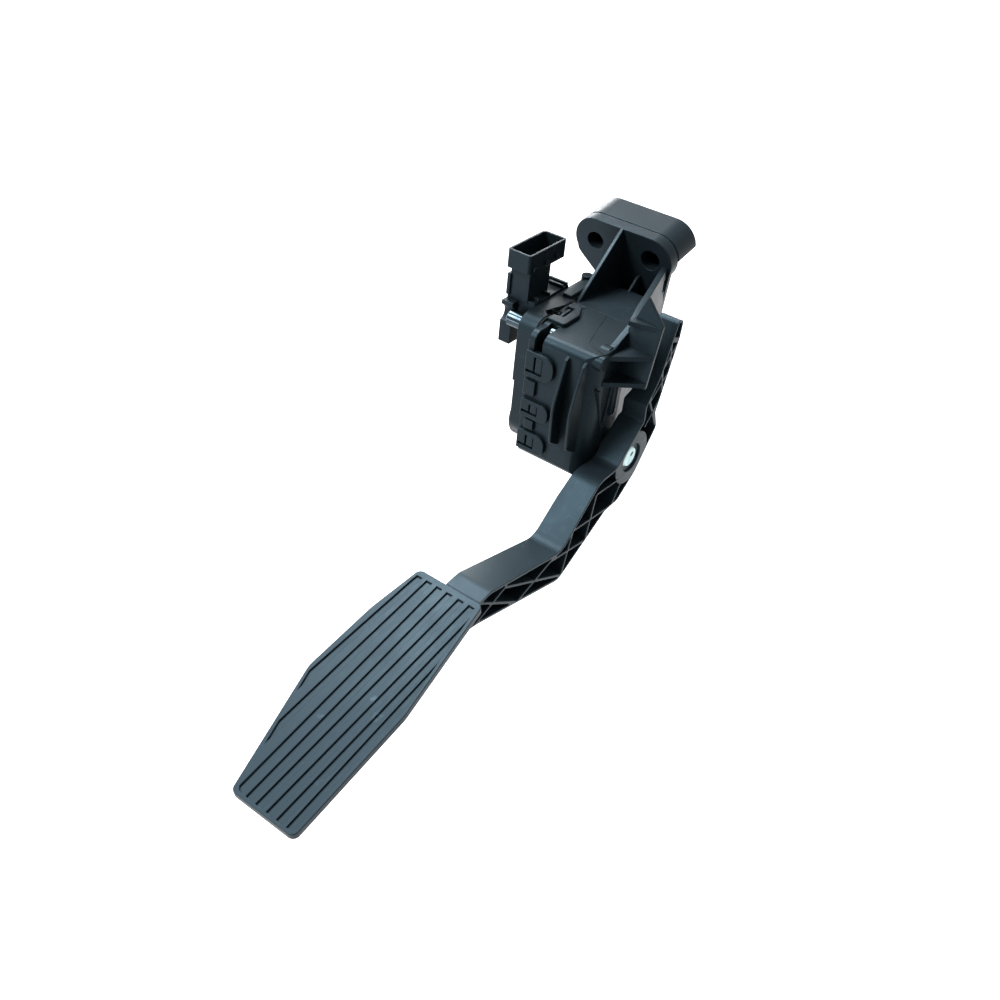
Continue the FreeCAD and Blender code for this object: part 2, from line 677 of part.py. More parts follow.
def parting_lines():
    """Two fine lines that the mould's slides leave in the top of the box."""
    grooves = []
    for (x0, forward0), (x1, forward1) in (PARTING_ACROSS, PARTING_ALONG):
        run, rise = x1 - x0, forward1 - forward0
        share = PARTING_WIDTH / 2 / math.hypot(run, rise)
        a, b = rise * share, run * share
        plan = [(x0 - a, forward0 + b), (x1 - a, forward1 + b), (x1 + a, forward1 - b),
                (x0 + a, forward0 - b)]
        grooves.append(plan_prism(plan, BOX_TOP - PARTING_DEPTH, BOX_TOP + OVER))
    return grooves


def d_loop(up, height):
    """Snap loop of the cover over the front of the box, as a plan in (x, up) corners."""
    half = height / 2
    tip = BOX_LEFT + LOOP_LENGTH
    radius = half - 1
    left = COVER_LEFT + LOOP_INSET
    outline = [(left, up - half), (tip, up - half, radius), (tip, up + half, radius), (left, up + half)]
    wire = rounded_wire(outline, lambda x, z: Vector(x, -BOX_FRONT, z))
    loop = Part.Face(wire).extrude(Vector(0, -LOOP_THICKNESS, 0))
    loop = loop.fuse(block(left, BOX_LEFT, BOX_FRONT - OVER, BOX_FRONT, up - half, up + half))
    low, high = loop_window(up, height)
    end = BOX_LEFT + CATCH_GAP + CATCH_LENGTH + RUNNING
    front = BOX_FRONT + LOOP_THICKNESS + 1
    window = block(BOX_LEFT, end, BOX_FRONT, front, low, high)
    slot = block(left + OVER, end, BOX_FRONT, front, low, low + LOOP_SLOT)
    return loop.cut(window.fuse(slot))


def top_loop():
    """Snap loop of the cover over the top of the box, with a tongue in its window."""
    plan = [(COVER_LEFT, TOP_LOOP[0][1])] + list(TOP_LOOP) + [(COVER_LEFT, TOP_LOOP[-1][1])]
    high = BOX_TOP + LOOP_THICKNESS
    loop = plan_prism(plan, BOX_TOP - GAP, high)
    loop = loop.cut(block(BOX_LEFT, BOX_RIGHT, 0.0, BOX_FRONT, BOX_TOP - OVER, BOX_TOP))
    window = plan_prism(TOP_WINDOW, BOX_TOP + RUNNING, high + OVER)
    return loop.cut(window.cut(plan_prism(TOP_ISLAND, BOX_TOP, high + 2)))


def housing_cover():
    """Left cover of the spring box, with its snap loops and the left bearing."""
    rear = NECK_START + COVER_GAP
    low = PIVOT_UP - PIVOT_BOSS_R - 1
    outside = side_prism(box_side(0.0), COVER_LEFT, BOX_LEFT)
    outside = joined(outside, [pivot_cylinder(PIVOT_BOSS_R, COVER_LEFT, BOX_LEFT)])
    left, right, front, top = COVER_LEFT - OVER, BOX_LEFT + OVER, BOX_FRONT + OVER, BOX_TOP + OVER
    outside = outside.common(block(left, right, rear, front, low, top))
    hollow = joined(side_prism(box_side(WALL), COVER_LEFT + WALL, BOX_LEFT + OVER),
                    [pivot_cylinder(PIVOT_BOSS_R - WALL, COVER_LEFT + WALL, BOX_LEFT + OVER)])
    hollow = hollow.common(block(left, right, rear + WALL, front, low, top))
    bearing = pivot_cylinder(BUSH_R + WALL, COVER_LEFT, BOX_LEFT)
    pin_boss = cylinder_x(PIN_FORWARD, PIN_UP, PIN_R + PIN_BOSS, COVER_LEFT, BOX_LEFT)
    loops = [d_loop(up, height) for up, height in LOOP_PLACES]
    blocks = [block(left, right, BOX_FRONT, BOX_FRONT + COVER_BLOCK, foot, top)
              for left, right, foot, top in COVER_BLOCKS]
    cover = joined(outside.cut(hollow), [bearing, pin_boss, top_loop()] + loops + blocks)
    cover = cover.cut(pin_window())
    cover = cover.cut(pivot_cylinder(BUSH_R, COVER_LEFT - OVER, BOX_LEFT + OVER))
    return lean(cover.cut(cylinder_x(PIN_FORWARD, PIN_UP, PIN_R, COVER_LEFT - OVER, BOX_LEFT + OVER)))


def pin_window():
    """Gap in the box's top front corner, through which the cross pin shows."""
    back = TOP_LOOP[0][1] + GAP
    right = STRAP_RIGHT + PIN_WINDOW
    return block(STRAP_RIGHT, right, back, BOX_FRONT + OVER, PIN_UP - PIN_R, BOX_TOP + OVER)


def sensor_outline(inset):
    """Side outline of the sensor cover as (forward, up, radius) corners, inset by a wall."""
    front, rear = SENSOR_FRONT - inset, SENSOR_REAR + inset
    top, foot = SENSOR_TOP - inset, SENSOR_FOOT + inset
    heel, drop = SENSOR_HEEL
    return [(front, top, SENSOR_FRONT_R - inset / 2), (front, foot, SENSOR_FOOT_R - inset / 2),
            (PIVOT_FORWARD - heel, foot - drop, SENSOR_REAR_R),
            (rear, SENSOR_TOP - SENSOR_REAR_HEIGHT, SENSOR_REAR_R), (rear, top, SENSOR_TOP_R)]


def sensor_cover():
    """Outermost left cover: the chamber of the position sensor."""
    right = COVER_LEFT - SEAL
    outside = side_prism(sensor_outline(0.0), SENSOR_LEFT, right)
    upper = side_prism(sensor_outline(0.0), SENSOR_LEFT - SENSOR_STEP, SENSOR_LEFT + OVER)
    upper = upper.common(block(-FAR, 0.0, 0.0, FAR, SENSOR_TOP - SENSOR_STEP_HEIGHT, 0.0))
    boss = pivot_cylinder(SENSOR_BOSS_R, SENSOR_LEFT - SENSOR_BOSS, right)
    body = joined(outside, [upper, boss])
    hollow = side_prism(sensor_outline(SENSOR_WALL), SENSOR_LEFT + SENSOR_WALL, right + OVER)
    drum = pivot_cylinder(SENSOR_BOSS_R - SENSOR_WALL, SENSOR_LEFT + SENSOR_WALL, right + OVER)
    body = body.cut(joined(hollow, [drum]))
    body = body.cut(block(NECK_LEFT - SEAL, 0.0, 0.0, SEAL_STEP + SEAL, -FAR, FAR))
    posts = []
    (rear_inset, front_inset), drops = POST_INSETS
    for forward in (BOARD_REAR + rear_inset, BOARD_FRONT - front_inset):
        for drop in drops:
            posts.append(cylinder_x(forward, BOARD_TOP - drop, POST_R, SENSOR_LEFT + OVER, BOARD_LEFT))
    knob_centre = Vector(SENSOR_LEFT + KNOB_INSET[0], -SENSOR_REAR - KNOB_INSET[1], SENSOR_TOP - OVER)
    knob = Part.makeCylinder(KNOB_R, KNOB_HEIGHT, knob_centre)
    strap = block(SENSOR_LEFT + STRAP_INSET[0], NECK_LEFT - SEAL, SENSOR_REAR + STRAP_INSET[1],
                  TOP_LOOP[-1][1] - OVER, SENSOR_TOP - OVER, SENSOR_TOP + STRAP)
    sleeve = cylinder_x(PIN_FORWARD, PIN_UP, PIN_R + SENSOR_WALL, SENSOR_LEFT, right)
    body = joined(body, posts + [knob, strap, sleeve])
    body = body.cut(cylinder_x(PIN_FORWARD, PIN_UP, PIN_R, SENSOR_LEFT - SENSOR_STEP - OVER, right + OVER))
    for blade in terminal_blades():
        body = body.cut(blade)
    return lean(body)


def seal_ring(left, right, rear, front):
    """A length of the seal's ring, between two sides and two depths."""
    outer = joined(side_prism(sensor_outline(SEAL_INSET), left, right),
                   [pivot_cylinder(SENSOR_BOSS_R - SEAL_INSET, left, right)])
    inner = joined(side_prism(sensor_outline(SENSOR_WALL), left - OVER, right + OVER),
                   [pivot_cylinder(SENSOR_BOSS_R - SENSOR_WALL, left - OVER, right + OVER)])
    return outer.cut(inner).common(block(left, right, rear, front, -FAR, FAR))


def cover_seal():
    """Seal of the sensor cover against the housing cover and, a step lower, the neck."""
    near, far = COVER_LEFT, NECK_LEFT
    front = SENSOR_FRONT + 1
    return lean(joined(seal_ring(near - SEAL, near, SEAL_STEP, front),
                       [seal_ring(far - SEAL, far, SENSOR_REAR - OVER, SEAL_STEP + SEAL),
                        seal_ring(far - SEAL, near, SEAL_STEP, SEAL_STEP + SEAL)]))


def socket_plan(inset):
    """The plug socket's mouth from above as (x, forward, radius) corners, inset by a wall."""
    left, right, front, rear = socket_sides()
    near, far = SOCKET_CORNER_R - inset / 2, SOCKET_REAR_R - inset / 2
    return [(left + inset, front - inset, near), (right - inset, front - inset, near),
            (right - inset, rear + inset, near), (left + inset, rear + inset, far)]


def socket_sides():
    """Left, right, front and rear of the plug socket's collar."""
    left = SENSOR_LEFT - SENSOR_STEP - BLOCK_WIDTH
    return left, left + SOCKET_WIDTH, SOCKET_FRONT, SOCKET_FRONT - SOCKET_LENGTH


def connector_body():
    """Base block on the sensor cover and the upright plug socket."""
    left, side, front, rear = socket_sides()
    right = SENSOR_LEFT - SENSOR_STEP
    step, wall = SOCKET_STEP, SOCKET_WALL
    heel, toe = rear + SOCKET_HEEL, front - SOCKET_TOE
    collar_foot = SOCKET_TOP - SOCKET_COLLAR
    base = block(left, right, BLOCK_REAR, BLOCK_FRONT, BLOCK_FLOOR, SOCKET_BASE)
    plate = block(left, left + PLATE_WIDTH, BLOCK_FRONT - PLATE_ROOT, PLATE_FRONT, BLOCK_FOOT, PLATE_TOP)
    neck = block(left + step, side - step, heel, toe, SOCKET_BASE - OVER, collar_foot)
    collar = plan_prism(socket_plan(0.0), collar_foot, SOCKET_TOP)
    width, length, height = FLARE
    flare = block(left, left + width, toe - length, toe + OVER, SOCKET_BASE, SOCKET_BASE + height)
    pegs = [cylinder_x(forward, up, PEG_R, side - OVER, side + BAR) for forward, up in PEG_PLACES]
    bars = [block(start, right, forward, forward + BAR, SOCKET_BASE - OVER, SOCKET_BASE + BAR_HEIGHT)
            for forward, start in BRACKET_BARS]
    body = joined(base, [plate, neck, collar, flare] + pegs + bars)
    room = plan_prism(socket_plan(wall), collar_foot + wall, SOCKET_TOP + OVER)
    throat = block(left + step + wall, side - step - wall, heel + wall, toe - wall,
                   SOCKET_TOP - SOCKET_DEPTH, SOCKET_TOP + OVER)
    body = body.cut(joined(room, [throat]))
    for slot in terminal_blades():
        body = body.cut(slot)
    return lean(body.cut(cylinder_x(PIN_FORWARD, PIN_UP, PIN_R + GAP, left - 2, right + OVER)))


def terminal_blades():
    """The plug socket's terminals: a blade up into the socket and a leg to the board."""
    left, side, front, rear = socket_sides()
    middle = (left + side) / 2
    half = TERMINAL / 2
    floor = SOCKET_TOP - SOCKET_DEPTH
    bend = floor - TERMINAL_DROP
    middle_forward = (front - SOCKET_TOE + rear + SOCKET_HEEL) / 2
    first = middle_forward - TERMINAL_PITCH * (TERMINAL_COUNT - 1) / 2
    blades = []
    for index in range(TERMINAL_COUNT):
        forward = first + TERMINAL_PITCH * index
        blade = block(middle - half, middle + half, forward - half, forward + half,
                      bend, floor + TERMINAL_HEIGHT)
        leg = block(middle - half, BOARD_LEFT + BOARD, forward - half, forward + half, bend - TERMINAL, bend)
        blades.append(joined(blade, [leg]))
    return blades


def arm_front():
    """Driver's-side edge of the arm, from its top to the foot pad, as (y, z, radius) corners."""
    meets = (PAD_TOP_Y + ARM_TO_PAD[0], PAD_LEVEL + ARM_TO_PAD[1])
    return list(ARM_FRONT_EDGE) + [meets, (PAD_TOP_Y - OVER, PAD_LEVEL - PAD_THICKNESS / 2)]


def arm_rear():
    """Far edge of the arm, from the foot pad back to its top, as (y, z, radius) corners."""
    keel_end = PAD_TOP_Y - KEEL_LENGTH
    keel = [(keel_end, PAD_LEVEL - PAD_THICKNESS / 2), (keel_end, PAD_LEVEL - KEEL_DEPTH, KEEL_R)]
    return keel + list(ARM_REAR_EDGE)


def arm_plan(inset):
    """The arm seen from above as (x, y, radius) corners, its left side inset by a web."""
    top, foot = ARM_TOP_Y, PAD_TOP_Y - KEEL_LENGTH - 1.0
    nose, hub, low = ARM_LEFT + ARM_NOSE_INSET + inset, ARM_LEFT + inset, ARM_LOW_LEFT + inset
    middle = (hub + low) / 2
    run, soft = ARM_SHOULDER
    return [(nose, top, ARM_NOSE_R), (nose, ARM_NOSE_END), (hub, ARM_NOSE_END - run, soft),
            (hub, ARM_STEP, ARM_STEP_R[0]), (middle, ARM_STEP_END, ARM_STEP_R[1]),
            (low, ARM_LOW_START), (low, foot), (ARM_RIGHT, foot), (ARM_RIGHT, top)]


def bar(start, end, width):
    """The outline of a rib across the arm's pockets, between two (y, z) points."""
    along = Vector(0, end[0] - start[0], end[1] - start[1])
    side = Vector(0, -along.z, along.y)
    side.normalize()
    side = side * (width / 2)
    a, b = Vector(0, *start), Vector(0, *end)
    return Part.Face(Part.makePolygon([a + side, b + side, b - side, a - side, a + side]))


def arm_ribs():
    """The crossing ribs of the arm: a zigzag below the hub and one above it."""
    bars = [bar(hub, end, ARM_RIB) for hub, end in HUB_RIBS]
    bars.append(bar(*NOSE_RIB, ARM_RIB * 2))
    for stations in (LATTICE_LOW, LATTICE_HIGH):
        for (front, rear), (next_front, next_rear) in zip(stations, stations[1:]):
            bars.append(bar(front, next_rear, ARM_RIB))
            bars.append(bar(rear, next_front, ARM_RIB))
    return bars


def arm_pockets(outline):
    """The pockets between the arm's edges and ribs, open on the right."""
    hub = Part.makeCircle(HUB_R, Vector(0, PIVOT_Y, PIVOT_Z), Vector(1, 0, 0))
    field = Part.Face(outline.makeOffset2D(-ARM_WALL))
    field = field.cut([Part.Face(Part.Wire(hub))] + arm_ribs())
    pockets = []
    for face in field.Faces:
        if 2 * face.Area / face.OuterWire.Length > POCKET_LEAST:
            soft = face.makeOffset2D(-POCKET_R).makeOffset2D(POCKET_R)
            pockets.append(soft.extrude(Vector(ARM_RIGHT + OVER, 0, 0)))
    room = prism_z(arm_plan(ARM_WEB), -FAR, FAR)
    beyond = Part.makeBox(2.0, FAR, FAR, Vector(ARM_RIGHT, -FAR, -FAR / 2))
    return Part.makeCompound(pockets).common(room.fuse(beyond))


def pad_outline(inset):
    """The foot pad seen from above as (x, y, radius) corners, inset by a margin."""
    top, bend, foot = PAD_TOP_Y - inset, PAD_TOP_Y - PAD_BEND, PAD_TOP_Y - PAD_LENGTH + inset
    drop, shoulder_r = PAD_SHOULDER
    step, run, waist_r = PAD_WAIST
    left_slope, right_slope = PAD_SLOPE
    return [(PAD_TOP_LEFT + inset, top, PAD_CORNER_R), (PAD_LEFT + inset, top - drop + inset, shoulder_r),
            (PAD_LEFT + inset - step, bend - run, waist_r),
            (PAD_FOOT_LEFT + inset * left_slope, foot, PAD_CORNER_R),
            (PAD_FOOT_RIGHT - inset, foot, PAD_CORNER_R), (PAD_RIGHT - inset, bend, PAD_BEND_R),
            (PAD_TOP_RIGHT - inset * right_slope, top, PAD_CORNER_R)]


def foot_pad():
    """The foot pad with its grooves, which fan out to follow its left edge."""
    low, floor = PAD_LEVEL - PAD_THICKNESS, PAD_LEVEL - GROOVE_DEPTH
    plate = prism_z(pad_outline(0.0), low, PAD_LEVEL)
    field = prism_z(pad_outline(GROOVE_MARGIN), floor, PAD_LEVEL + OVER)
    start, end = PAD_TOP_Y - GROOVE_TOP_MARGIN, PAD_TOP_Y - PAD_LENGTH
    for top, foot in GROOVES:
        corners = [(top, start), (foot, end), (foot + GROOVE_WIDTH, end), (top + GROOVE_WIDTH, start)]
        plate = plate.cut(prism_z(corners, floor, PAD_LEVEL + OVER).common(field))
    return plate


def pedal_arm():
    """Arm and foot pad: one moulding."""
    outline = rounded_wire(arm_front() + arm_rear(), lambda y, z: Vector(0, y, z))
    body = Part.Face(outline).extrude(Vector(ARM_RIGHT + OVER, 0, 0))
    body = body.common(prism_z(arm_plan(0.0), -FAR, FAR))
    body = joined(body.cut(arm_pockets(outline)), [foot_pad()])
    return body.cut(arm_bore())


def arm_bore():
    """The hub's bore, which grips the shaft, and the recess round the shaft's end."""
    centre, along = Vector(0, PIVOT_Y, PIVOT_Z), Vector(1, 0, 0)
    bore = Part.makeCylinder(SHAFT_R, ARM_RIGHT + OVER, centre, along)
    mouth = Vector(ARM_RIGHT - HUB_RECESS_DEPTH, PIVOT_Y, PIVOT_Z)
    return bore.fuse(Part.makeCylinder(SHAFT_R + HUB_RECESS, HUB_RECESS_DEPTH + OVER, mouth, along))


def pivot_shaft():
    """Steel shaft that the arm turns with, with a chamfer on each end."""
    length = ARM_RIGHT - SHAFT_SUNK - SHAFT_LEFT
    shaft = Part.makeCylinder(SHAFT_R, length, Vector(SHAFT_LEFT, PIVOT_Y, PIVOT_Z), Vector(1, 0, 0))
    ends = [edge for edge in shaft.Edges if len(edge.Vertexes) == 1]
    return shaft.makeChamfer(SHAFT_CHAMFER, ends)


def spring_length():
    """Distance from the lever's cup to the cross pin, along the springs."""
    distance = math.hypot(PIN_FORWARD - PIVOT_FORWARD, PIN_UP - PIVOT_UP)
    return math.sqrt(distance ** 2 - LEVER_REACH ** 2)


def spring_frame():
    """Where the springs press on the lever and which way they point, as (forward, up) pairs."""
    forward, up = PIN_FORWARD - PIVOT_FORWARD, PIN_UP - PIVOT_UP
    length = spring_length()
    angle = math.atan2(up, forward) + math.atan2(length, LEVER_REACH)
    foot = (PIVOT_FORWARD + LEVER_REACH * math.cos(angle), PIVOT_UP + LEVER_REACH * math.sin(angle))
    return foot, ((PIN_FORWARD - foot[0]) / length, (PIN_UP - foot[1]) / length)


def along_spring(shape):
    """Moves a shape built up from the origin along Z to the lever's cup, along the springs."""
    foot, aim = spring_frame()
    placed = shape.copy()
    turn = FreeCAD.Rotation(Vector(0, 0, 1), Vector(0, -aim[0], aim[1]))
    onto_cup = FreeCAD.Placement(Vector(LEVER_MID, -foot[0], foot[1]), turn)
    placed.Placement = onto_cup.multiply(shape.Placement)
    return placed


def spring_lever():
    """Lever on the shaft, with the cup that the springs push on."""
    foot, aim = spring_frame()
    left, right = LEVER_MID - LEVER_WIDTH / 2, LEVER_MID + LEVER_WIDTH / 2
    hub = pivot_cylinder(LEVER_HUB_R, left, right)
    half = LEVER_THICKNESS / 2
    side = (aim[0] * half, aim[1] * half)
    corners = [(PIVOT_FORWARD, PIVOT_UP), (foot[0] + side[0] * CUP_LIP, foot[1] + side[1] * CUP_LIP),
               (foot[0] - 2 * side[0], foot[1] - 2 * side[1]),
               (PIVOT_FORWARD - 2 * side[0], PIVOT_UP - 2 * side[1])]
    limb = side_prism(corners, left + LEVER_INSET, right - LEVER_INSET)
    cup = along_spring(Part.makeCylinder(CUP_R, CUP_THICKNESS))
    spigot = along_spring(Part.makeCylinder(SPIGOT_R, SPIGOT_LENGTH))
    finger = block(left + LEVER_INSET, right - LEVER_INSET,
                   PIVOT_FORWARD - LEVER_HUB_R - STOP_FINGER_REACH, PIVOT_FORWARD,
                   PIVOT_UP - STOP_FINGER / 2, PIVOT_UP + STOP_FINGER / 2)
    lever = joined(hub, [limb, cup, spigot, finger])
    return lean(lever.cut(pivot_cylinder(SHAFT_R, left - OVER, right + OVER)))


def spring_seat():
    """Upper cup of the springs, hooked over the cross pin."""
    face = spring_length() - SEAT_FACE
    cup = Part.makeCylinder(CUP_R - SEAT_INSET, CUP_THICKNESS, Vector(0, 0, face))
    spigot = Part.makeCylinder(SPIGOT_R, CUP_THICKNESS, Vector(0, 0, face - CUP_THICKNESS))
    stem = Part.makeBox(STEM, STEM, SEAT_FACE - OVER, Vector(-STEM / 2, -STEM / 2, face + OVER))
    seat = along_spring(joined(cup, [spigot, stem]))
    return lean(seat.cut(cylinder_x(PIN_FORWARD, PIN_UP, PIN_R, 0.0, FAR)))


def coil(radius, wire_r, turns):
    """A compression spring between the lever's cup and the upper seat."""
    low = CUP_THICKNESS + wire_r + RUNNING
    high = spring_length() - SEAT_FACE - wire_r - RUNNING
    height = high - low
    helix = Part.makeHelix(height / turns, height, radius - wire_r)
    circle = Part.Wire(Part.Circle(Vector(radius - wire_r, 0, 0), Vector(0, 1, 0), wire_r).toShape())
    wire = Part.Wire(helix).makePipeShell([circle], True, True)
    wire.translate(Vector(0, 0, low))
    return lean(along_spring(wire))


def friction_shoe():
    """Shoe on the lever's hub that rubs on the drum-shaped floor of the box."""
    left, right = LEVER_MID - SHOE_WIDTH / 2, LEVER_MID + SHOE_WIDTH / 2
    outer = PIVOT_BOSS_R - WALL - GAP
    ring = pivot_ring(outer, LEVER_HUB_R, left, right)
    spread = SHOE_REACH * math.tan(math.radians(SHOE_ANGLE / 2))
    wedge = [(PIVOT_FORWARD, PIVOT_UP), (PIVOT_FORWARD + spread, PIVOT_UP - SHOE_REACH),
             (PIVOT_FORWARD - spread, PIVOT_UP - SHOE_REACH)]
    return lean(ring.common(side_prism(wedge, left - OVER, right + OVER)))


def cross_pin():
    """Pin through the top front corner of the box, which carries the upper spring seat."""
    pin = cylinder_x(PIN_FORWARD, PIN_UP, PIN_R, PIN_LEFT, BOX_RIGHT - WALL)
    ends = [edge for edge in pin.Edges if len(edge.Vertexes) == 1]
    return lean(pin.makeChamfer(SHAFT_CHAMFER / 2, ends))


def bushes():
    """The two plain bearings of the shaft."""
    inner = SHAFT_R + RUNNING
    right = pivot_ring(BUSH_R, inner, BOX_RIGHT - BUSH_LENGTH, BOX_RIGHT)
    left = pivot_ring(BUSH_R, inner, COVER_LEFT, BOX_LEFT)
    return lean(right), lean(left)


def rotor():
    """Carrier on the shaft's end, with a pocket for the magnet."""
    left = SHAFT_LEFT
    disc = pivot_cylinder(ROTOR_R, left, left + ROTOR_DEPTH)
    pocket = pivot_cylinder(MAGNET_R + MAGNET_WIDTH, left - OVER, left + MAGNET_DEPTH)
    pocket = pocket.cut(pivot_cylinder(MAGNET_R, left - 2, left + ROTOR_DEPTH))
    disc = disc.cut(pocket)
    return lean(disc.cut(pivot_cylinder(SHAFT_R, left - OVER, left + ROTOR_DEPTH + OVER)))


def rotor_magnet():
    """Ring magnet in the rotor's pocket."""
    left = SHAFT_LEFT
    return lean(pivot_ring(MAGNET_R + MAGNET_WIDTH, MAGNET_R, left, left + MAGNET_DEPTH))


def circuit_board():
    """Board of the position sensor."""
    corners = [(BOARD_FRONT, BOARD_TOP, BOARD_TOP_R), (BOARD_FRONT, BOARD_FOOT, BOARD_FOOT_R),
               (BOARD_REAR, BOARD_FOOT, BOARD_FOOT_R), (BOARD_REAR, BOARD_TOP, BOARD_TOP_R)]
    board = side_prism(corners, BOARD_LEFT, BOARD_LEFT + BOARD)
    notch_r = PIN_R + SENSOR_WALL + GAP
    notch = cylinder_x(PIN_FORWARD, PIN_UP, notch_r, BOARD_LEFT - OVER, BOARD_LEFT + BOARD + OVER)
    return lean(board.cut(notch))


def board_components():
    """Sensor chips and passive parts on the board, a group of separate solids."""
    face = BOARD_LEFT + BOARD
    parts = [block(face, face + CHIP, forward - depth / 2, forward + depth / 2,
                   up - height / 2, up + height / 2) for forward, up, depth, height in CHIPS]
    return lean(Part.makeCompound(parts))


def stop_buffer_idle():
    """Rubber pad that the lever's finger comes back to."""
    top = PIVOT_UP - STOP_FINGER / 2 - GAP
    front = PIVOT_FORWARD - LEVER_HUB_R - STOP_PAD_GAP
    return lean(block(LEVER_MID - STOP_PAD_HALF, LEVER_MID + STOP_PAD_HALF,
                      PIVOT_FORWARD - LEVER_HUB_R - STOP_PAD_REACH, front, top - STOP_PAD, top))


def stop_buffer_full():
    """Rubber pad on the back of the stop plate, where the arm ends its travel."""
    high, low = STOP_TOP - BUFFER_SPAN[0], STOP_TOP - BUFFER_SPAN[1]
    back_high, back_low = stop_front(high) - STOP_THICKNESS, stop_front(low) - STOP_THICKNESS
    side = [(back_high, high), (back_low, low), (back_low - BUFFER, low), (back_high - BUFFER, high)]
    return lean(side_prism(side, ARM_LEFT + ARM_NOSE_INSET, STOP_RIGHT - BUFFER_INSET))


def nodes():
    """Every piece of the pedal by its node's name."""
    right_bush, left_bush = bushes()
    return {
        "housing": housing(),
        "housing_cover": housing_cover(),
        "sensor_cover": sensor_cover(),
        "connector_body": connector_body(),
        "connector_terminals": lean(Part.makeCompound(terminal_blades())),
        "cover_seal": cover_seal(),
        "pedal_arm": pedal_arm(),
        "pivot_shaft": pivot_shaft(),
        "right_bush": right_bush,
        "left_bush": left_bush,
        "thrust_washer": lean(pivot_ring(SHAFT_R + WASHER_WIDTH, SHAFT_R, ARM_LEFT - WASHER, ARM_LEFT)),
        "retaining_ring": lean(pivot_ring(RING_R, SHAFT_R, COVER_LEFT - RING - GAP, COVER_LEFT - GAP)),
        "spring_lever": spring_lever(),
        "spring_seat": spring_seat(),
        "outer_spring": coil(OUTER_SPRING_R, OUTER_WIRE_R, OUTER_TURNS),
        "inner_spring": coil(INNER_SPRING_R, INNER_WIRE_R, INNER_TURNS),
        "friction_shoe": friction_shoe(),
        "cross_pin": cross_pin(),
        "rotor": rotor(),
        "rotor_magnet": rotor_magnet(),
        "circuit_board": circuit_board(),
        "board_components": board_components(),
        "idle_stop_buffer": stop_buffer_idle(),
        "full_stop_buffer": stop_buffer_full(),
    }


def main():
    os.makedirs("parts", exist_ok=True)
    for name, shape in nodes().items():
        shape.exportStep(os.path.join("parts", name + ".step"))
        print(name, len(shape.Solids), round(shape.Volume), shape.isValid())


main()
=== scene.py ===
"""Accelerator pedal unit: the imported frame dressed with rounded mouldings, small parts and finishes."""

import logging
import math
from dataclasses import dataclass, field
from enum import Enum
from typing import Iterator

import bmesh
import bpy
from mathutils import Matrix, Vector


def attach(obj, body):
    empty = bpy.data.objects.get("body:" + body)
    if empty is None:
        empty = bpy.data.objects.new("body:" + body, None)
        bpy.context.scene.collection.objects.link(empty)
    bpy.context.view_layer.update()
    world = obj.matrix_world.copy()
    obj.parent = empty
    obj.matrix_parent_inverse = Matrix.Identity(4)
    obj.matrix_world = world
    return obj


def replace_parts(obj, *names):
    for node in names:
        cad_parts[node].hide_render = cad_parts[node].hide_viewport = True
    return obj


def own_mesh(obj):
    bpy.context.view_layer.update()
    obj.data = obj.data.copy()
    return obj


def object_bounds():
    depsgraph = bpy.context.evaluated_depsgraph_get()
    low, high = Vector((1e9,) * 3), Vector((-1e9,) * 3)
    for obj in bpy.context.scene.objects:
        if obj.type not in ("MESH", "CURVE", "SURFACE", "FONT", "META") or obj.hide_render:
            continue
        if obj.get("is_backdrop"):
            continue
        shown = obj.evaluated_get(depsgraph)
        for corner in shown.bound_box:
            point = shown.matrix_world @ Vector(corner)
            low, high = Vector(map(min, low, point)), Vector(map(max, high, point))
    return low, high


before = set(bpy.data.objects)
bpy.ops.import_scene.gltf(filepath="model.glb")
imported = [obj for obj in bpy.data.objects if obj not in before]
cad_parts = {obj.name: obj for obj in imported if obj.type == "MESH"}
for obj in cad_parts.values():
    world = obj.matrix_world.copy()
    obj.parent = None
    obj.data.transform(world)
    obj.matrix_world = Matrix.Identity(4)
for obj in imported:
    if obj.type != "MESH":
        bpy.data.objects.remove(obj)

Colour = tuple[float, float, float]
Point = tuple[float, float, float]
Range = tuple[float, float]
Socket = bpy.types.NodeSocket

MM = 0.001

# Lean of the box and its socket, forward from upright
BOX_TILT = math.radians(10.0)

# Where the springs stand in the row frame, and their lean back from straight up
SPRING_FOOT: Point = (20.0, -64.62, -42.51)
SPRING_LEAN = math.radians(37.53)

# An edge goes on past a corner point when the next one turns less than about 30 degrees, and a
# rounding takes less than half of a neighbour's length.
STRAIGHT_ON = -0.85
ROOM_SHARE = 0.45

# A rounded edge turns less than this, in degrees, from one of its faces to the next. Other edges
# are crisp above the sharp angle, and faces under the flat angle become one.
ROUNDED_TURN = 52.0
SHARP_ANGLE = 32.0
FLAT_ANGLE = 0.6

# Points of a node closer than this, in millimetres, are the same point
WELD = 0.002

# How finely a rounded edge, the springs' turns and wire and the terminals' blades are divided
ROUNDING_STEPS = 2
COIL_STEPS = 48
WIRE_STEPS = 14
BLADE_STEPS = 12

# Relief and wear: share of the pits in the grain, bend in millimetres of the streaks and scratches,
# stretch of the streaks, and the ranges of noise where each effect starts and is full
PIT_SHARE = 0.6
CLOUD_WARP = 0.6
CLOUD_DETAIL = 3.0
CLOUD_RANGE = (0.35, 0.68)
STREAK_BEND = 6.0
STREAK_STRETCH = (900.0, 240.0, 240.0)
STREAK_RANGE = (0.52, 0.75)
SCRATCH_BEND = 5.0
SCRATCH_WIDTH = 0.022
SCRATCH_RANGE = (0.55, 0.7)
RUB_FADE = (0.45, 1.0)
RUB_SPECKS = 700.0
RUB_RANGE = (0.42, 0.62)

log = logging.getLogger("pedal_unit")


class Body(Enum):
    """The two bodies of the frame that a piece can ride on."""

    BASE = "base"
    PEDAL = "pedal"


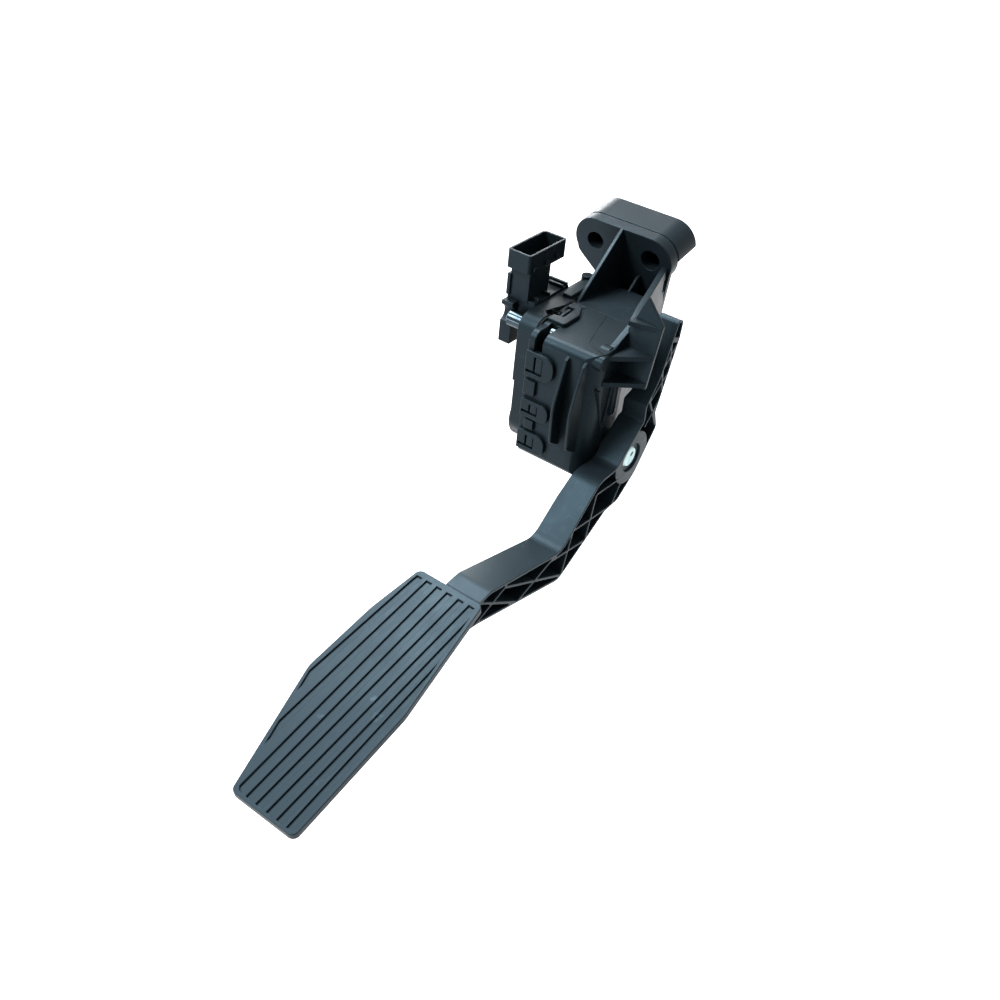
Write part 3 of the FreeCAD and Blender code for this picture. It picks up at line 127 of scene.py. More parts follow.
class Tone(Enum):
    """The ground colours of the mouldings, from the darkest to the palest."""

    SOCKET = (0.0060, 0.0095, 0.0120)
    COVER = (0.0075, 0.0120, 0.0150)
    HOUSING = (0.0085, 0.0135, 0.0170)
    ARM = (0.0130, 0.0205, 0.0260)


# Node tree helpers


class Sheet:
    """A node tree being built, with short calls that add nodes and join their sockets."""

    def __init__(self, tree: bpy.types.NodeTree) -> None:
        """Keeps the tree.

        Args:
            tree: the shader or geometry tree to fill.
        """
        self.tree = tree

    def add(self, kind: str, **inputs: object) -> bpy.types.Node:
        """Adds one node and sets its input sockets.

        Args:
            kind: the node's type name.
            inputs: values or output sockets, by input name with underscores for spaces.

        Returns:
            The new node.
        """
        node = self.tree.nodes.new(kind)
        for name, value in inputs.items():
            self.feed(node, name.replace("_", " "), value)
        return node

    def feed(self, node: bpy.types.Node, name: str | int, value: object) -> None:
        """Sets one input socket, or joins an output socket to it.

        Args:
            node: the node that is fed.
            name: the input's name or place.
            value: a plain value or an output socket.
        """
        if isinstance(value, Socket):
            self.tree.links.new(value, node.inputs[name])
        else:
            node.inputs[name].default_value = value

    def maths(self, operation: str, *values: object, clamp: bool = False) -> Socket:
        """Adds a Math node.

        Args:
            operation: the Math node's operation.
            values: numbers or output sockets for its inputs.
            clamp: whether the result is kept between 0 and 1.

        Returns:
            The result socket.
        """
        node = self.tree.nodes.new("ShaderNodeMath")
        node.operation = operation
        node.use_clamp = clamp
        for place, value in enumerate(values):
            self.feed(node, place, value)
        return node.outputs[0]

    def vector(self, operation: str, *values: object) -> bpy.types.Node:
        """Adds a Vector Math node.

        Args:
            operation: the Vector Math node's operation.
            values: vectors or output sockets for its inputs.

        Returns:
            The node.
        """
        node = self.tree.nodes.new("ShaderNodeVectorMath")
        node.operation = operation
        for place, value in enumerate(values):
            self.feed(node, place, value)
        return node

    def blend(self, share: object, first: object, second: object) -> Socket:
        """Mixes two colours.

        Args:
            share: how much of the second colour, from 0 to 1.
            first: a colour or colour socket.
            second: a colour or colour socket.

        Returns:
            The mixed colour's socket.
        """
        node = self.tree.nodes.new("ShaderNodeMix")
        node.data_type = "RGBA"
        self.feed(node, 0, share)
        self.feed(node, 6, with_alpha(first))
        self.feed(node, 7, with_alpha(second))
        return node.outputs[2]

    def remap(self, value: object, given: Range, out: Range = (0.0, 1.0)) -> Socket:
        """Stretches a value from one range to another, clamped.

        Args:
            value: the value's socket.
            given: the values that give the first and the second result.
            out: the two results.

        Returns:
            The result socket.
        """
        node = self.add("ShaderNodeMapRange", Value=value)
        for name, number in zip(("From Min", "From Max", "To Min", "To Max"), given + out):
            node.inputs[name].default_value = number
        return node.outputs[0]


Names = tuple[str, ...]
GroupParts = tuple[Sheet, bpy.types.Node, bpy.types.Node]


def with_alpha(colour: object) -> object:
    """Gives a plain colour its fourth number, and leaves a socket as it is."""
    return (*colour, 1.0) if isinstance(colour, tuple) else colour


def new_group(name: str, vectors: Names, sizes: Names, masks: Names) -> GroupParts:
    """Makes an empty shader node group with its sockets.

    Args:
        name: the group's name.
        vectors: the names of its vector inputs.
        sizes: the names of its number inputs.
        masks: the names of its outputs, which are numbers.

    Returns:
        The sheet of the group, its input node and its output node.
    """
    tree = bpy.data.node_groups.new(name, "ShaderNodeTree")
    for labels, way, kind in (
        (vectors, "INPUT", "NodeSocketVector"),
        (sizes, "INPUT", "NodeSocketFloat"),
        (masks, "OUTPUT", "NodeSocketFloat"),
    ):
        for label in labels:
            tree.interface.new_socket(label, in_out=way, socket_type=kind)
    return Sheet(tree), tree.nodes.new("NodeGroupInput"), tree.nodes.new("NodeGroupOutput")


def bent(sheet: Sheet, given: bpy.types.Node, noise: bpy.types.Node, reach: float) -> Socket:
    """Bends a group's coordinates with a noise.

    Args:
        sheet: the group's sheet.
        given: the group's input node.
        noise: the noise node.
        reach: how far a point moves, in millimetres.

    Returns:
        The moved coordinates' socket.
    """
    bend = sheet.vector("SCALE", noise.outputs["Color"])
    sheet.feed(bend, "Scale", reach * MM)
    return sheet.vector("ADD", given.outputs["Vector"], bend.outputs[0]).outputs[0]


def grain_group() -> bpy.types.NodeTree:
    """Makes the fine spark grain of a mould.

    Returns:
        A group that gives a height from 0 to 1, with the grain's size in millimetres as input.
    """
    sheet, given, result = new_group("mould_grain", ("Vector",), ("Grain Size",), ("Height",))
    scale = sheet.maths("DIVIDE", 1.0 / MM, given.outputs["Grain Size"])
    pits = sheet.add("ShaderNodeTexVoronoi", Vector=given.outputs["Vector"], Scale=scale)
    pits.feature = "SMOOTH_F1"
    fine = sheet.add("ShaderNodeTexNoise", Vector=given.outputs["Vector"], Scale=scale, Detail=2.0)
    pitted = sheet.maths("MULTIPLY", pits.outputs["Distance"], PIT_SHARE)
    sheet.feed(result, "Height", sheet.maths("ADD", pitted, fine.outputs["Fac"]))
    return sheet.tree


def bloom_group() -> bpy.types.NodeTree:
    """Makes the cloudy bloom and the fibre streaks that filled nylon shows.

    Returns:
        A group that gives a cloud mask and a streak mask, with the cloud's size in millimetres as input.
    """
    sheet, given, result = new_group("nylon_bloom", ("Vector",), ("Cloud Size",), ("Cloud", "Streak"))
    scale = sheet.maths("DIVIDE", 1.0 / MM, given.outputs["Cloud Size"])
    cloud = sheet.add("ShaderNodeTexNoise", Vector=given.outputs["Vector"], Scale=scale, Detail=CLOUD_DETAIL)
    cloud.inputs["Distortion"].default_value = CLOUD_WARP
    sheet.feed(result, "Cloud", sheet.remap(cloud.outputs["Fac"], CLOUD_RANGE))
    stretched = sheet.vector("MULTIPLY", bent(sheet, given, cloud, STREAK_BEND), STREAK_STRETCH)
    streak = sheet.add("ShaderNodeTexNoise", Vector=stretched.outputs[0], Scale=1.0, Detail=2.0)
    sheet.feed(result, "Streak", sheet.remap(streak.outputs["Fac"], STREAK_RANGE))
    return sheet.tree


def scratch_group() -> bpy.types.NodeTree:
    """Makes sparse hair scratches.

    Returns:
        A group that gives a scratch mask, with the spacing in millimetres as input.
    """
    sheet, given, result = new_group("hair_scratches", ("Vector",), ("Spacing",), ("Mask",))
    scale = sheet.maths("DIVIDE", 1.0 / MM, given.outputs["Spacing"])
    warp = sheet.add("ShaderNodeTexNoise", Vector=given.outputs["Vector"], Scale=scale, Detail=1.0)
    cells = sheet.add("ShaderNodeTexVoronoi", Vector=bent(sheet, given, warp, SCRATCH_BEND), Scale=scale)
    cells.feature = "DISTANCE_TO_EDGE"
    line = sheet.remap(cells.outputs["Distance"], (0.0, SCRATCH_WIDTH), (1.0, 0.0))
    thin = sheet.add("ShaderNodeTexNoise", Vector=given.outputs["Vector"], Scale=scale, Detail=2.0)
    kept = sheet.remap(thin.outputs["Fac"], SCRATCH_RANGE)
    sheet.feed(result, "Mask", sheet.maths("MULTIPLY", line, kept))
    return sheet.tree


def rub_group() -> bpy.types.NodeTree:
    """Makes one soft rub mark, an ellipse in the row frame.

    Returns:
        A group that gives the mark's mask, with its centre and its half sizes in metres as inputs.
    """
    sheet, given, result = new_group("rub_mark", ("Vector", "Centre", "Half Size"), (), ("Mask",))
    apart = sheet.vector("SUBTRACT", given.outputs["Vector"], given.outputs["Centre"])
    share = sheet.vector("DIVIDE", apart.outputs[0], given.outputs["Half Size"])
    reach = sheet.vector("LENGTH", share.outputs[0])
    rough = sheet.add("ShaderNodeTexNoise", Vector=given.outputs["Vector"], Scale=RUB_SPECKS, Detail=2.0)
    inside = sheet.remap(reach.outputs["Value"], RUB_FADE, (1.0, 0.0))
    specks = sheet.remap(rough.outputs["Fac"], RUB_RANGE)
    sheet.feed(result, "Mask", sheet.maths("MULTIPLY", inside, specks))
    return sheet.tree


@dataclass
class Effects:
    """The node groups that more than one material uses."""

    grain: bpy.types.NodeTree = field(default_factory=grain_group)
    bloom: bpy.types.NodeTree = field(default_factory=bloom_group)
    scratch: bpy.types.NodeTree = field(default_factory=scratch_group)
    rub: bpy.types.NodeTree = field(default_factory=rub_group)


def place_group(sheet: Sheet, group: bpy.types.NodeTree, **inputs: object) -> bpy.types.Node:
    """Puts a group into a material and sets its inputs.

    Args:
        sheet: the material's sheet.
        group: the shader group.
        inputs: values or sockets, by input name with underscores for spaces.

    Returns:
        The group's node.
    """
    node = sheet.tree.nodes.new("ShaderNodeGroup")
    node.node_tree = group
    for name, value in inputs.items():
        sheet.feed(node, name.replace("_", " "), value)
    return node


def scaled(numbers: Point, factor: float) -> Point:
    """Multiplies a colour or a point by a number."""
    return tuple(number * factor for number in numbers)


def new_material(name: str) -> tuple[bpy.types.Material, Sheet, bpy.types.Node, Socket]:
    """Makes a material with its shader and the Object coordinates.

    Args:
        name: the material's name.

    Returns:
        The material, its sheet, the shader node and the coordinates' socket.
    """
    material = bpy.data.materials.new(name)
    material.use_nodes = True
    sheet = Sheet(material.node_tree)
    shader = material.node_tree.nodes["Principled BSDF"]
    place = sheet.add("ShaderNodeTexCoord").outputs["Object"]
    return material, sheet, shader, place


def add_bump(sheet: Sheet, shader: bpy.types.Node, height: Socket, depth: float) -> None:
    """Turns a height into a bump on the shader.

    Args:
        sheet: the material's sheet.
        shader: the shader node.
        height: the height's socket, from 0 to 1.
        depth: how deep the relief is, in millimetres.
    """
    bump = sheet.add("ShaderNodeBump", Height=height)
    bump.inputs["Distance"].default_value = depth * MM
    sheet.feed(shader, "Normal", bump.outputs["Normal"])


@dataclass(frozen=True)
class RubMark:
    """One pale rub mark, in millimetres in the row frame."""

    centre: Point
    half: Point


@dataclass(frozen=True)
class NylonFinish:
    """Glass-filled black nylon with fine grain, a cloudy bloom and light wear."""

    name: str
    tone: Tone
    roughness: float = 0.40
    grain_size: float = 0.45
    grain_depth: float = 0.02
    cloud_size: float = 22.0
    gloss: float = 0.19
    cool: Colour = (0.48, 0.79, 1.0)
    marks: tuple[RubMark, ...] = ()
    pale: float = 1.35
    pale_share: float = 0.55
    worn: float = 4.0
    scratch_share: float = 0.35
    scratch_spacing: float = 9.0
    streak_shine: float = -0.05
    cloud_shine: Range = (-0.03, 0.05)

    def material(self, effects: Effects) -> bpy.types.Material:
        """Builds the nylon.

        Args:
            effects: the shared node groups.

        Returns:
            The material.
        """
        material, sheet, shader, place = new_material(self.name)
        bloom = place_group(sheet, effects.bloom, Vector=place, Cloud_Size=self.cloud_size)
        scratch = place_group(sheet, effects.scratch, Vector=place, Spacing=self.scratch_spacing)
        ground = self.tone.value
        clouded = sheet.maths("MULTIPLY", bloom.outputs["Cloud"], self.pale_share)
        colour = sheet.blend(clouded, ground, scaled(ground, self.pale))
        worn = sheet.maths("MULTIPLY", scratch.outputs["Mask"], self.scratch_share)
        for mark in self.marks:
            rub = place_group(
                sheet, effects.rub, Vector=place, Centre=scaled(mark.centre, MM),
                Half_Size=scaled(mark.half, MM),
            )
            worn = sheet.maths("MAXIMUM", worn, rub.outputs["Mask"])
        sheet.feed(shader, "Base Color", sheet.blend(worn, colour, scaled(ground, self.worn)))
        shine = sheet.maths("MULTIPLY", bloom.outputs["Streak"], self.streak_shine)
        least, most = (self.roughness + change for change in self.cloud_shine)
        uneven = sheet.remap(bloom.outputs["Cloud"], (0.0, 1.0), (least, most))
        sheet.feed(shader, "Roughness", sheet.maths("ADD", uneven, shine))
        shader.inputs["Specular IOR Level"].default_value = self.gloss
        shader.inputs["Specular Tint"].default_value = with_alpha(self.cool)
        grain = place_group(sheet, effects.grain, Vector=place, Grain_Size=self.grain_size)
        add_bump(sheet, shader, grain.outputs["Height"], self.grain_depth)
        return material


@dataclass(frozen=True)
class MetalFinish:
    """Bare or plated metal with fine turning marks and a little dulling."""

    name: str
    colour: Colour
    roughness: float = 0.25
    line_size: float = 0.3
    dull: float = 0.75
    line_depth: float = 0.004
    cloud_size: float = 6.0
    dull_roughness: float = 0.1

    def material(self, effects: Effects) -> bpy.types.Material:
        """Builds the metal.

        Args:
            effects: the shared node groups.

        Returns:
            The material.
        """
        material, sheet, shader, place = new_material(self.name)
        shader.inputs["Metallic"].default_value = 1.0
        cloud = place_group(sheet, effects.bloom, Vector=place, Cloud_Size=self.cloud_size).outputs["Cloud"]
        sheet.feed(shader, "Base Color", sheet.blend(cloud, self.colour, scaled(self.colour, self.dull)))
        roughest = self.roughness + self.dull_roughness
        sheet.feed(shader, "Roughness", sheet.remap(cloud, (0.0, 1.0), (self.roughness, roughest)))
        lines = place_group(sheet, effects.grain, Vector=place, Grain_Size=self.line_size)
        add_bump(sheet, shader, lines.outputs["Height"], self.line_depth)
        return material


@dataclass(frozen=True)
class SoftFinish:
    """A plain smooth plastic, rubber, lacquer or paint with slight mottling."""

    name: str
    colour: Colour
    roughness: float = 0.5
    mottle: float = 0.8
    gloss: float = 0.2
    grain_size: float = 0.3
    grain_depth: float = 0.006
    coat: float = 0.0
    cloud_size: float = 5.0
    streak_roughness: float = 0.08

    def material(self, effects: Effects) -> bpy.types.Material:
        """Builds the soft finish.

        Args:
            effects: the shared node groups.

        Returns:
            The material.
        """
        material, sheet, shader, place = new_material(self.name)
        bloom = place_group(sheet, effects.bloom, Vector=place, Cloud_Size=self.cloud_size)
        darker = scaled(self.colour, self.mottle)
        sheet.feed(shader, "Base Color", sheet.blend(bloom.outputs["Cloud"], self.colour, darker))
        roughest = self.roughness + self.streak_roughness
        streaked = sheet.remap(bloom.outputs["Streak"], (0.0, 1.0), (self.roughness, roughest))
        sheet.feed(shader, "Roughness", streaked)
        shader.inputs["Specular IOR Level"].default_value = self.gloss
        shader.inputs["Coat Weight"].default_value = self.coat
        grain = place_group(sheet, effects.grain, Vector=place, Grain_Size=self.grain_size)
        add_bump(sheet, shader, grain.outputs["Height"], self.grain_depth)
        return material


PAD_MARKS = (
    RubMark((48.8, -271.6, -54.0), (3.2, 2.2, 2.0)),
    RubMark((54.6, -276.5, -54.0), (2.6, 3.4, 2.0)),
    RubMark((36.4, -289.2, -54.0), (2.2, 1.8, 2.0)),
    RubMark((33.0, -202.3, -58.0), (2.4, 2.2, 3.0)),
    RubMark((51.8, -100.6, -42.7), (1.5, 3.0, 1.6)),
)

FINISHES = {
    "housing_nylon": NylonFinish("housing_nylon", Tone.HOUSING),
    "cover_nylon": NylonFinish("cover_nylon", Tone.COVER, roughness=0.42, cloud_size=15.0),
    "sensor_nylon": NylonFinish("sensor_nylon", Tone.COVER, roughness=0.44, cloud_size=15.0),
    "socket_nylon": NylonFinish("socket_nylon", Tone.SOCKET, roughness=0.45, cloud_size=12.0),
    "arm_nylon": NylonFinish(
        "arm_nylon", Tone.ARM, roughness=0.46, gloss=0.32, cloud_size=26.0, marks=PAD_MARKS
    ),
    "lever_nylon": NylonFinish("lever_nylon", Tone.HOUSING, roughness=0.5, cloud_size=10.0),
    "seal_rubber": SoftFinish("seal_rubber", (0.006, 0.008, 0.009), roughness=0.6, gloss=0.1),
    "bearing_plastic": SoftFinish("bearing_plastic", (0.020, 0.023, 0.026), roughness=0.4, mottle=0.85),
    "board_laminate": SoftFinish("board_laminate", (0.012, 0.11, 0.045), roughness=0.35, coat=0.4),
    "chip_resin": SoftFinish("chip_resin", (0.014, 0.014, 0.015), roughness=0.55),
    "paint": SoftFinish("paint", (0.004, 0.13, 0.12), roughness=0.4, mottle=0.8),
    "zinc_steel": MetalFinish("zinc_steel", (0.52, 0.70, 0.71), roughness=0.34, dull=0.8),
    # Painted reflection: the polished steel's colour is made dark and bluish, far below bare steel's own
    # colour, so that the cross pin shows a dim reflection where it would mirror the pale room
    "polished_steel": MetalFinish("polished_steel", (0.045, 0.065, 0.08), roughness=0.12, dull=0.6),
    "spring_steel": MetalFinish("spring_steel", (0.30, 0.31, 0.32), roughness=0.32),
    "tinned_brass": MetalFinish("tinned_brass", (0.74, 0.68, 0.52), roughness=0.22, dull=0.85),
    "magnet": MetalFinish("magnet", (0.16, 0.16, 0.17), roughness=0.45),
}


@dataclass
class Paintbox:
    """The finishes, each built once."""

    effects: Effects = field(default_factory=Effects)
    made: dict[str, bpy.types.Material] = field(default_factory=dict)

    def get(self, slot: str) -> bpy.types.Material:
        """Builds or finds the material of a slot.

        Args:
            slot: the name of the finish.

        Returns:
            The material.
        """
        if slot not in self.made:
            self.made[slot] = FINISHES[slot].material(self.effects)
        return self.made[slot]


# Mesh helpers


def new_piece(name: str, shape: bmesh.types.BMesh) -> bpy.types.Object:
    """Turns mesh code into an object of the scene.

    Args:
        name: the piece's name.
        shape: its mesh, in metres, which is freed here.

    Returns:
        The new object at the origin.
    """
    mesh = bpy.data.meshes.new(name)
    shape.to_mesh(mesh)
    shape.free()
    piece = bpy.data.objects.new(name, mesh)
    bpy.context.scene.collection.objects.link(piece)
    return piece


def merged_copy(node: str, name: str) -> bpy.types.Object:
    """Copies a node of the frame with its loose triangles merged into whole faces.

    Args:
        node: the node's name.
        name: the new piece's name.

    Returns:
        The new object.
    """
    shape = bmesh.new()
    shape.from_mesh(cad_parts[node].data)
    bmesh.ops.remove_doubles(shape, verts=shape.verts[:], dist=WELD * MM)
    bmesh.ops.dissolve_limit(
        shape, angle_limit=math.radians(FLAT_ANGLE), verts=shape.verts[:], edges=shape.edges[:]
    )
    return new_piece(name, shape)


def shade_smooth(piece: bpy.types.Object) -> None:
    """Shades a piece smoothly, with its edges above the sharp angle kept crisp."""
    piece.data.shade_smooth()
    piece.data.set_sharp_from_angle(angle=math.radians(SHARP_ANGLE))


def weigh_edges(piece: bpy.types.Object, radius: float) -> None:
    """Gives each outer edge the share of a radius that its neighbours leave room for.

    Args:
        piece: the object, with whole faces.
        radius: the full radius in millimetres.
    """
    shape = bmesh.new()
    shape.from_mesh(piece.data)
    share = shape.edges.layers.float.new("bevel_weight_edge")
    outer = {
        edge for edge in shape.edges
        if edge.is_manifold and edge.is_convex and edge.calc_face_angle(0.0) > math.radians(SHARP_ANGLE)
    }
    for edge in outer:
        room = radius * MM
        for vert in edge.verts:
            along = edge.other_vert(vert).co - vert.co
            for other in vert.link_edges:
                away = other.other_vert(vert).co - vert.co
                goes_on = other in outer and along.normalized().dot(away.normalized()) < STRAIGHT_ON
                if other is not edge and not goes_on:
                    room = min(room, ROOM_SHARE * away.length)
        edge[share] = room / (radius * MM)
    shape.to_mesh(piece.data)
    shape.free()


def round_edges(piece: bpy.types.Object, radius: float) -> None:
    """Rounds a piece's outer edges and evens out the shading beside them.

    Args:
        piece: the object, with whole faces.
        radius: the radius in millimetres where there is room for it.
    """
    weigh_edges(piece, radius)
    shade_smooth(piece)
    bevel = piece.modifiers.new("rounded_edges", "BEVEL")
    bevel.width = radius * MM
    bevel.segments = ROUNDING_STEPS
    bevel.limit_method = "WEIGHT"
    bevel.use_clamp_overlap = False
    bevel.miter_outer = "MITER_ARC"
    settle(piece)
    crease_inner(piece)
    even = piece.modifiers.new("even_shading", "WEIGHTED_NORMAL")
    even.keep_sharp = True
    settle(piece)


def crease_inner(piece: bpy.types.Object) -> None:
    """Keeps every inner corner and every unrounded outer corner crisp.

    Args:
        piece: the object, after its outer edges are rounded.
    """
    shape = bmesh.new()
    shape.from_mesh(piece.data)
    for edge in shape.edges:
        limit = ROUNDED_TURN if edge.is_convex else SHARP_ANGLE
        edge.smooth = edge.is_manifold and edge.calc_face_angle(0.0) < math.radians(limit)
    shape.to_mesh(piece.data)
    shape.free()


def settle(piece: bpy.types.Object) -> None:
    """Turns a piece's modifiers into its plain mesh.

    Args:
        piece: the object, whose modifiers are removed.
    """
    ready = piece.evaluated_get(bpy.context.evaluated_depsgraph_get())
    mesh = bpy.data.meshes.new_from_object(ready)
    piece.modifiers.clear()
    piece.data = mesh


def finish_piece(piece: bpy.types.Object, slot: str, body: Body, paints: Paintbox) -> bpy.types.Object:
    """Gives a piece its material, slot and body.

    Args:
        piece: the object.
        slot: the material slot of the record.
        body: the body that it rides on.
        paints: the materials.

    Returns:
        The same object.
    """
    piece.data.materials.clear()
    piece.data.materials.append(paints.get(slot))
    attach(piece, body.value)
    return piece


def dress_node(node: str, slot: str, paints: Paintbox) -> bpy.types.Object:
    """Gives a node of the frame, whose shape is right, its finish.

    Args:
        node: the node's name.
        slot: the finish's name.
        paints: the materials.

    Returns:
        The node's object.
    """
    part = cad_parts[node]
    part.data.materials.clear()
    part.data.materials.append(paints.get(slot))
    return part


@dataclass(frozen=True)
class Moulding:
    """A node that is shown by a rounded copy: its name, piece, slot and edge radius in millimetres."""

    node: str
    piece: str
    slot: str
    radius: float = 0.35

    def build(self, body: Body, paints: Paintbox) -> bpy.types.Object:
        """Makes the rounded copy that stands for the node.

        Args:
            body: the body that it rides on.
            paints: the materials.

        Returns:
            The piece.
        """
        piece = merged_copy(self.node, self.piece)
        round_edges(piece, self.radius)
        finish_piece(piece, self.slot, body, paints)
        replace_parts(piece, self.node)
        return piece


# What repeats, built by geometry nodes

TreeParts = tuple[Sheet, bpy.types.Node, dict[str, object]]


def new_tree(name: str, inputs: tuple[tuple[str, str, object], ...]) -> TreeParts:
    """Makes an empty geometry tree with its named inputs.

    Args:
        name: the tree's name.
        inputs: name, socket type and value of each input.

    Returns:
        The tree's sheet, its input node and the values by socket identifier.
    """
    tree = bpy.data.node_groups.new(name, "GeometryNodeTree")
    tree.is_modifier = True
    tree.interface.new_socket("Geometry", in_out="INPUT", socket_type="NodeSocketGeometry")
    tree.interface.new_socket("Geometry", in_out="OUTPUT", socket_type="NodeSocketGeometry")
    values = {}
    for label, kind, value in inputs:
        socket = tree.interface.new_socket(label, in_out="INPUT", socket_type=kind)
        values[socket.identifier] = value
    return Sheet(tree), tree.nodes.new("NodeGroupInput"), values


def close_tree(sheet: Sheet, given: bpy.types.Node, shape: Socket) -> None:
    """Ends a tree: leans the shape, moves it to its place, realizes it and gives it its material.

    Args:
        sheet: the tree's sheet.
        given: the tree's input node, with inputs named Place, Lean and Material.
        shape: the geometry's socket.
    """
    about = sheet.add("ShaderNodeCombineXYZ", X=given.outputs["Lean"])
    turn = sheet.add("FunctionNodeEulerToRotation", Euler=about.outputs[0])
    placed = sheet.add(
        "GeometryNodeTransform", Geometry=shape, Translation=given.outputs["Place"], Rotation=turn.outputs[0]
    )
    real = sheet.add("GeometryNodeRealizeInstances", Geometry=placed.outputs[0])
    painted = sheet.add(
        "GeometryNodeSetMaterial", Geometry=real.outputs[0], Material=given.outputs["Material"]
    )
    sheet.add("NodeGroupOutput", Geometry=painted.outputs[0])


def grow(name: str, tree: bpy.types.NodeTree, values: dict[str, object]) -> bpy.types.Object:
    """Runs a geometry tree on an empty piece and keeps the plain mesh.

    Args:
        name: the piece's name.
        tree: the geometry tree.
        values: the inputs' values by socket identifier.

    Returns:
        The piece.
    """
    piece = new_piece(name, bmesh.new())
    maker = piece.modifiers.new(tree.name, "NODES")
    maker.node_group = tree
    for identifier, value in values.items():
        maker[identifier] = value
    settle(piece)
    return piece


@dataclass(frozen=True)
class Coil:
    """A compression spring: node, coil's and wire's radius, turns, end heights, in millimetres."""

    node: str
    mean: float
    wire: float
    turns: float
    low: float
    high: float

    def build(self, paints: Paintbox) -> bpy.types.Object:
        """Winds the spring from a spiral with a round profile, leaning as it stands in the box.

        Args:
            paints: the materials.

        Returns:
            The piece.
        """
        sheet, given, values = new_tree(f"{self.node}_winding", (
            ("Mean Radius", "NodeSocketFloat", self.mean * MM),
            ("Wire Radius", "NodeSocketFloat", self.wire * MM),
            ("Turns", "NodeSocketFloat", self.turns),
            ("Height", "NodeSocketFloat", (self.high - self.low) * MM),
            ("Start", "NodeSocketVector", (0.0, 0.0, self.low * MM)),
            ("Place", "NodeSocketVector", scaled(SPRING_FOOT, MM)),
            ("Lean", "NodeSocketFloat", SPRING_LEAN),
            ("Material", "NodeSocketMaterial", paints.get("spring_steel")),
        ))
        spiral = sheet.add(
            "GeometryNodeCurveSpiral", Resolution=COIL_STEPS, Rotations=given.outputs["Turns"],
            Start_Radius=given.outputs["Mean Radius"], End_Radius=given.outputs["Mean Radius"],
            Height=given.outputs["Height"], Reverse=True,
        )
        wire = sheet.add(
            "GeometryNodeCurvePrimitiveCircle", Resolution=WIRE_STEPS, Radius=given.outputs["Wire Radius"]
        )
        swept = sheet.add(
            "GeometryNodeCurveToMesh", Curve=spiral.outputs[0], Profile_Curve=wire.outputs[0], Fill_Caps=True
        )
        smooth = sheet.add("GeometryNodeSetShadeSmooth", Geometry=swept.outputs[0])
        raised = sheet.add(
            "GeometryNodeTransform", Geometry=smooth.outputs[0], Translation=given.outputs["Start"]
        )
        close_tree(sheet, given, raised.outputs[0])
        piece = grow(f"{self.node}_wire", sheet.tree, values)
        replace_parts(finish_piece(piece, "spring_steel", Body.BASE, paints), self.node)
        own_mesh(piece)
        return piece


@dataclass(frozen=True)
class Terminals:
    """The row of terminals in the plug socket: sizes in millimetres along the box's lean."""

    node: str = "connector_terminals"
    count: int = 6
    pitch: float = 2.5
    width: float = 0.7
    middle: float = -20.7
    first: float = 66.55
    foot: float = -21.0
    tip: float = -4.0
    leg_end: float = -7.1
    tip_share: float = 0.42
    tip_steps: float = 1.5

    def build(self, paints: Paintbox) -> bpy.types.Object:
        """Sets one bent and pointed blade at each place of the row.

        Args:
            paints: the materials.

        Returns:
            The piece.
        """
        half = self.width / 2
        leg_start = self.middle - half
        leg_size = (self.leg_end - leg_start, self.width, self.width)
        leg_middle = ((self.leg_end + leg_start) / 2, 0.0, self.foot - half)
        sheet, given, values = new_tree("terminal_row", (
            ("Count", "NodeSocketInt", self.count),
            ("Pitch", "NodeSocketVector", (0.0, -self.pitch * MM, 0.0)),
            ("First", "NodeSocketVector", (0.0, -self.first * MM, 0.0)),
            ("Width", "NodeSocketFloat", self.width * MM),
            ("Foot", "NodeSocketVector", scaled((self.middle, 0.0, self.foot), MM)),
            ("Tip", "NodeSocketVector", scaled((self.middle, 0.0, self.tip), MM)),
            ("Leg Size", "NodeSocketVector", scaled(leg_size, MM)),
            ("Leg Middle", "NodeSocketVector", scaled(leg_middle, MM)),
            ("Place", "NodeSocketVector", (0.0, 0.0, 0.0)),
            ("Lean", "NodeSocketFloat", -BOX_TILT),
            ("Material", "NodeSocketMaterial", paints.get("tinned_brass")),
        ))
        line = sheet.add(
            "GeometryNodeCurvePrimitiveLine", Start=given.outputs["Foot"], End=given.outputs["Tip"]
        )
        steps = sheet.add("GeometryNodeResampleCurve", Curve=line.outputs[0], Count=BLADE_STEPS)
        along = sheet.add("GeometryNodeSplineParameter").outputs["Factor"]
        taper = sheet.remap(along, (1.0 - self.tip_steps / BLADE_STEPS, 1.0), (1.0, self.tip_share))
        sized = sheet.add("GeometryNodeSetCurveRadius", Curve=steps.outputs[0], Radius=taper)
        section = sheet.add(
            "GeometryNodeCurvePrimitiveQuadrilateral", Width=given.outputs["Width"],
            Height=given.outputs["Width"],
        )
        blade = sheet.add(
            "GeometryNodeCurveToMesh", Curve=sized.outputs[0], Profile_Curve=section.outputs[0],
            Scale=taper, Fill_Caps=True,
        )
        cube = sheet.add("GeometryNodeMeshCube", Size=given.outputs["Leg Size"])
        leg = sheet.add(
            "GeometryNodeTransform", Geometry=cube.outputs[0], Translation=given.outputs["Leg Middle"]
        )
        both = sheet.add("GeometryNodeJoinGeometry", Geometry=blade.outputs[0])
        sheet.feed(both, "Geometry", leg.outputs[0])
        places = sheet.add(
            "GeometryNodeMeshLine", Count=given.outputs["Count"], Start_Location=given.outputs["First"],
            Offset=given.outputs["Pitch"],
        )
        row = sheet.add("GeometryNodeInstanceOnPoints", Points=places.outputs[0], Instance=both.outputs[0])
        close_tree(sheet, given, row.outputs[0])
        piece = grow("terminal_row", sheet.tree, values)
        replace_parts(finish_piece(piece, "tinned_brass", Body.BASE, paints), self.node)
        return piece


# Sub-assemblies


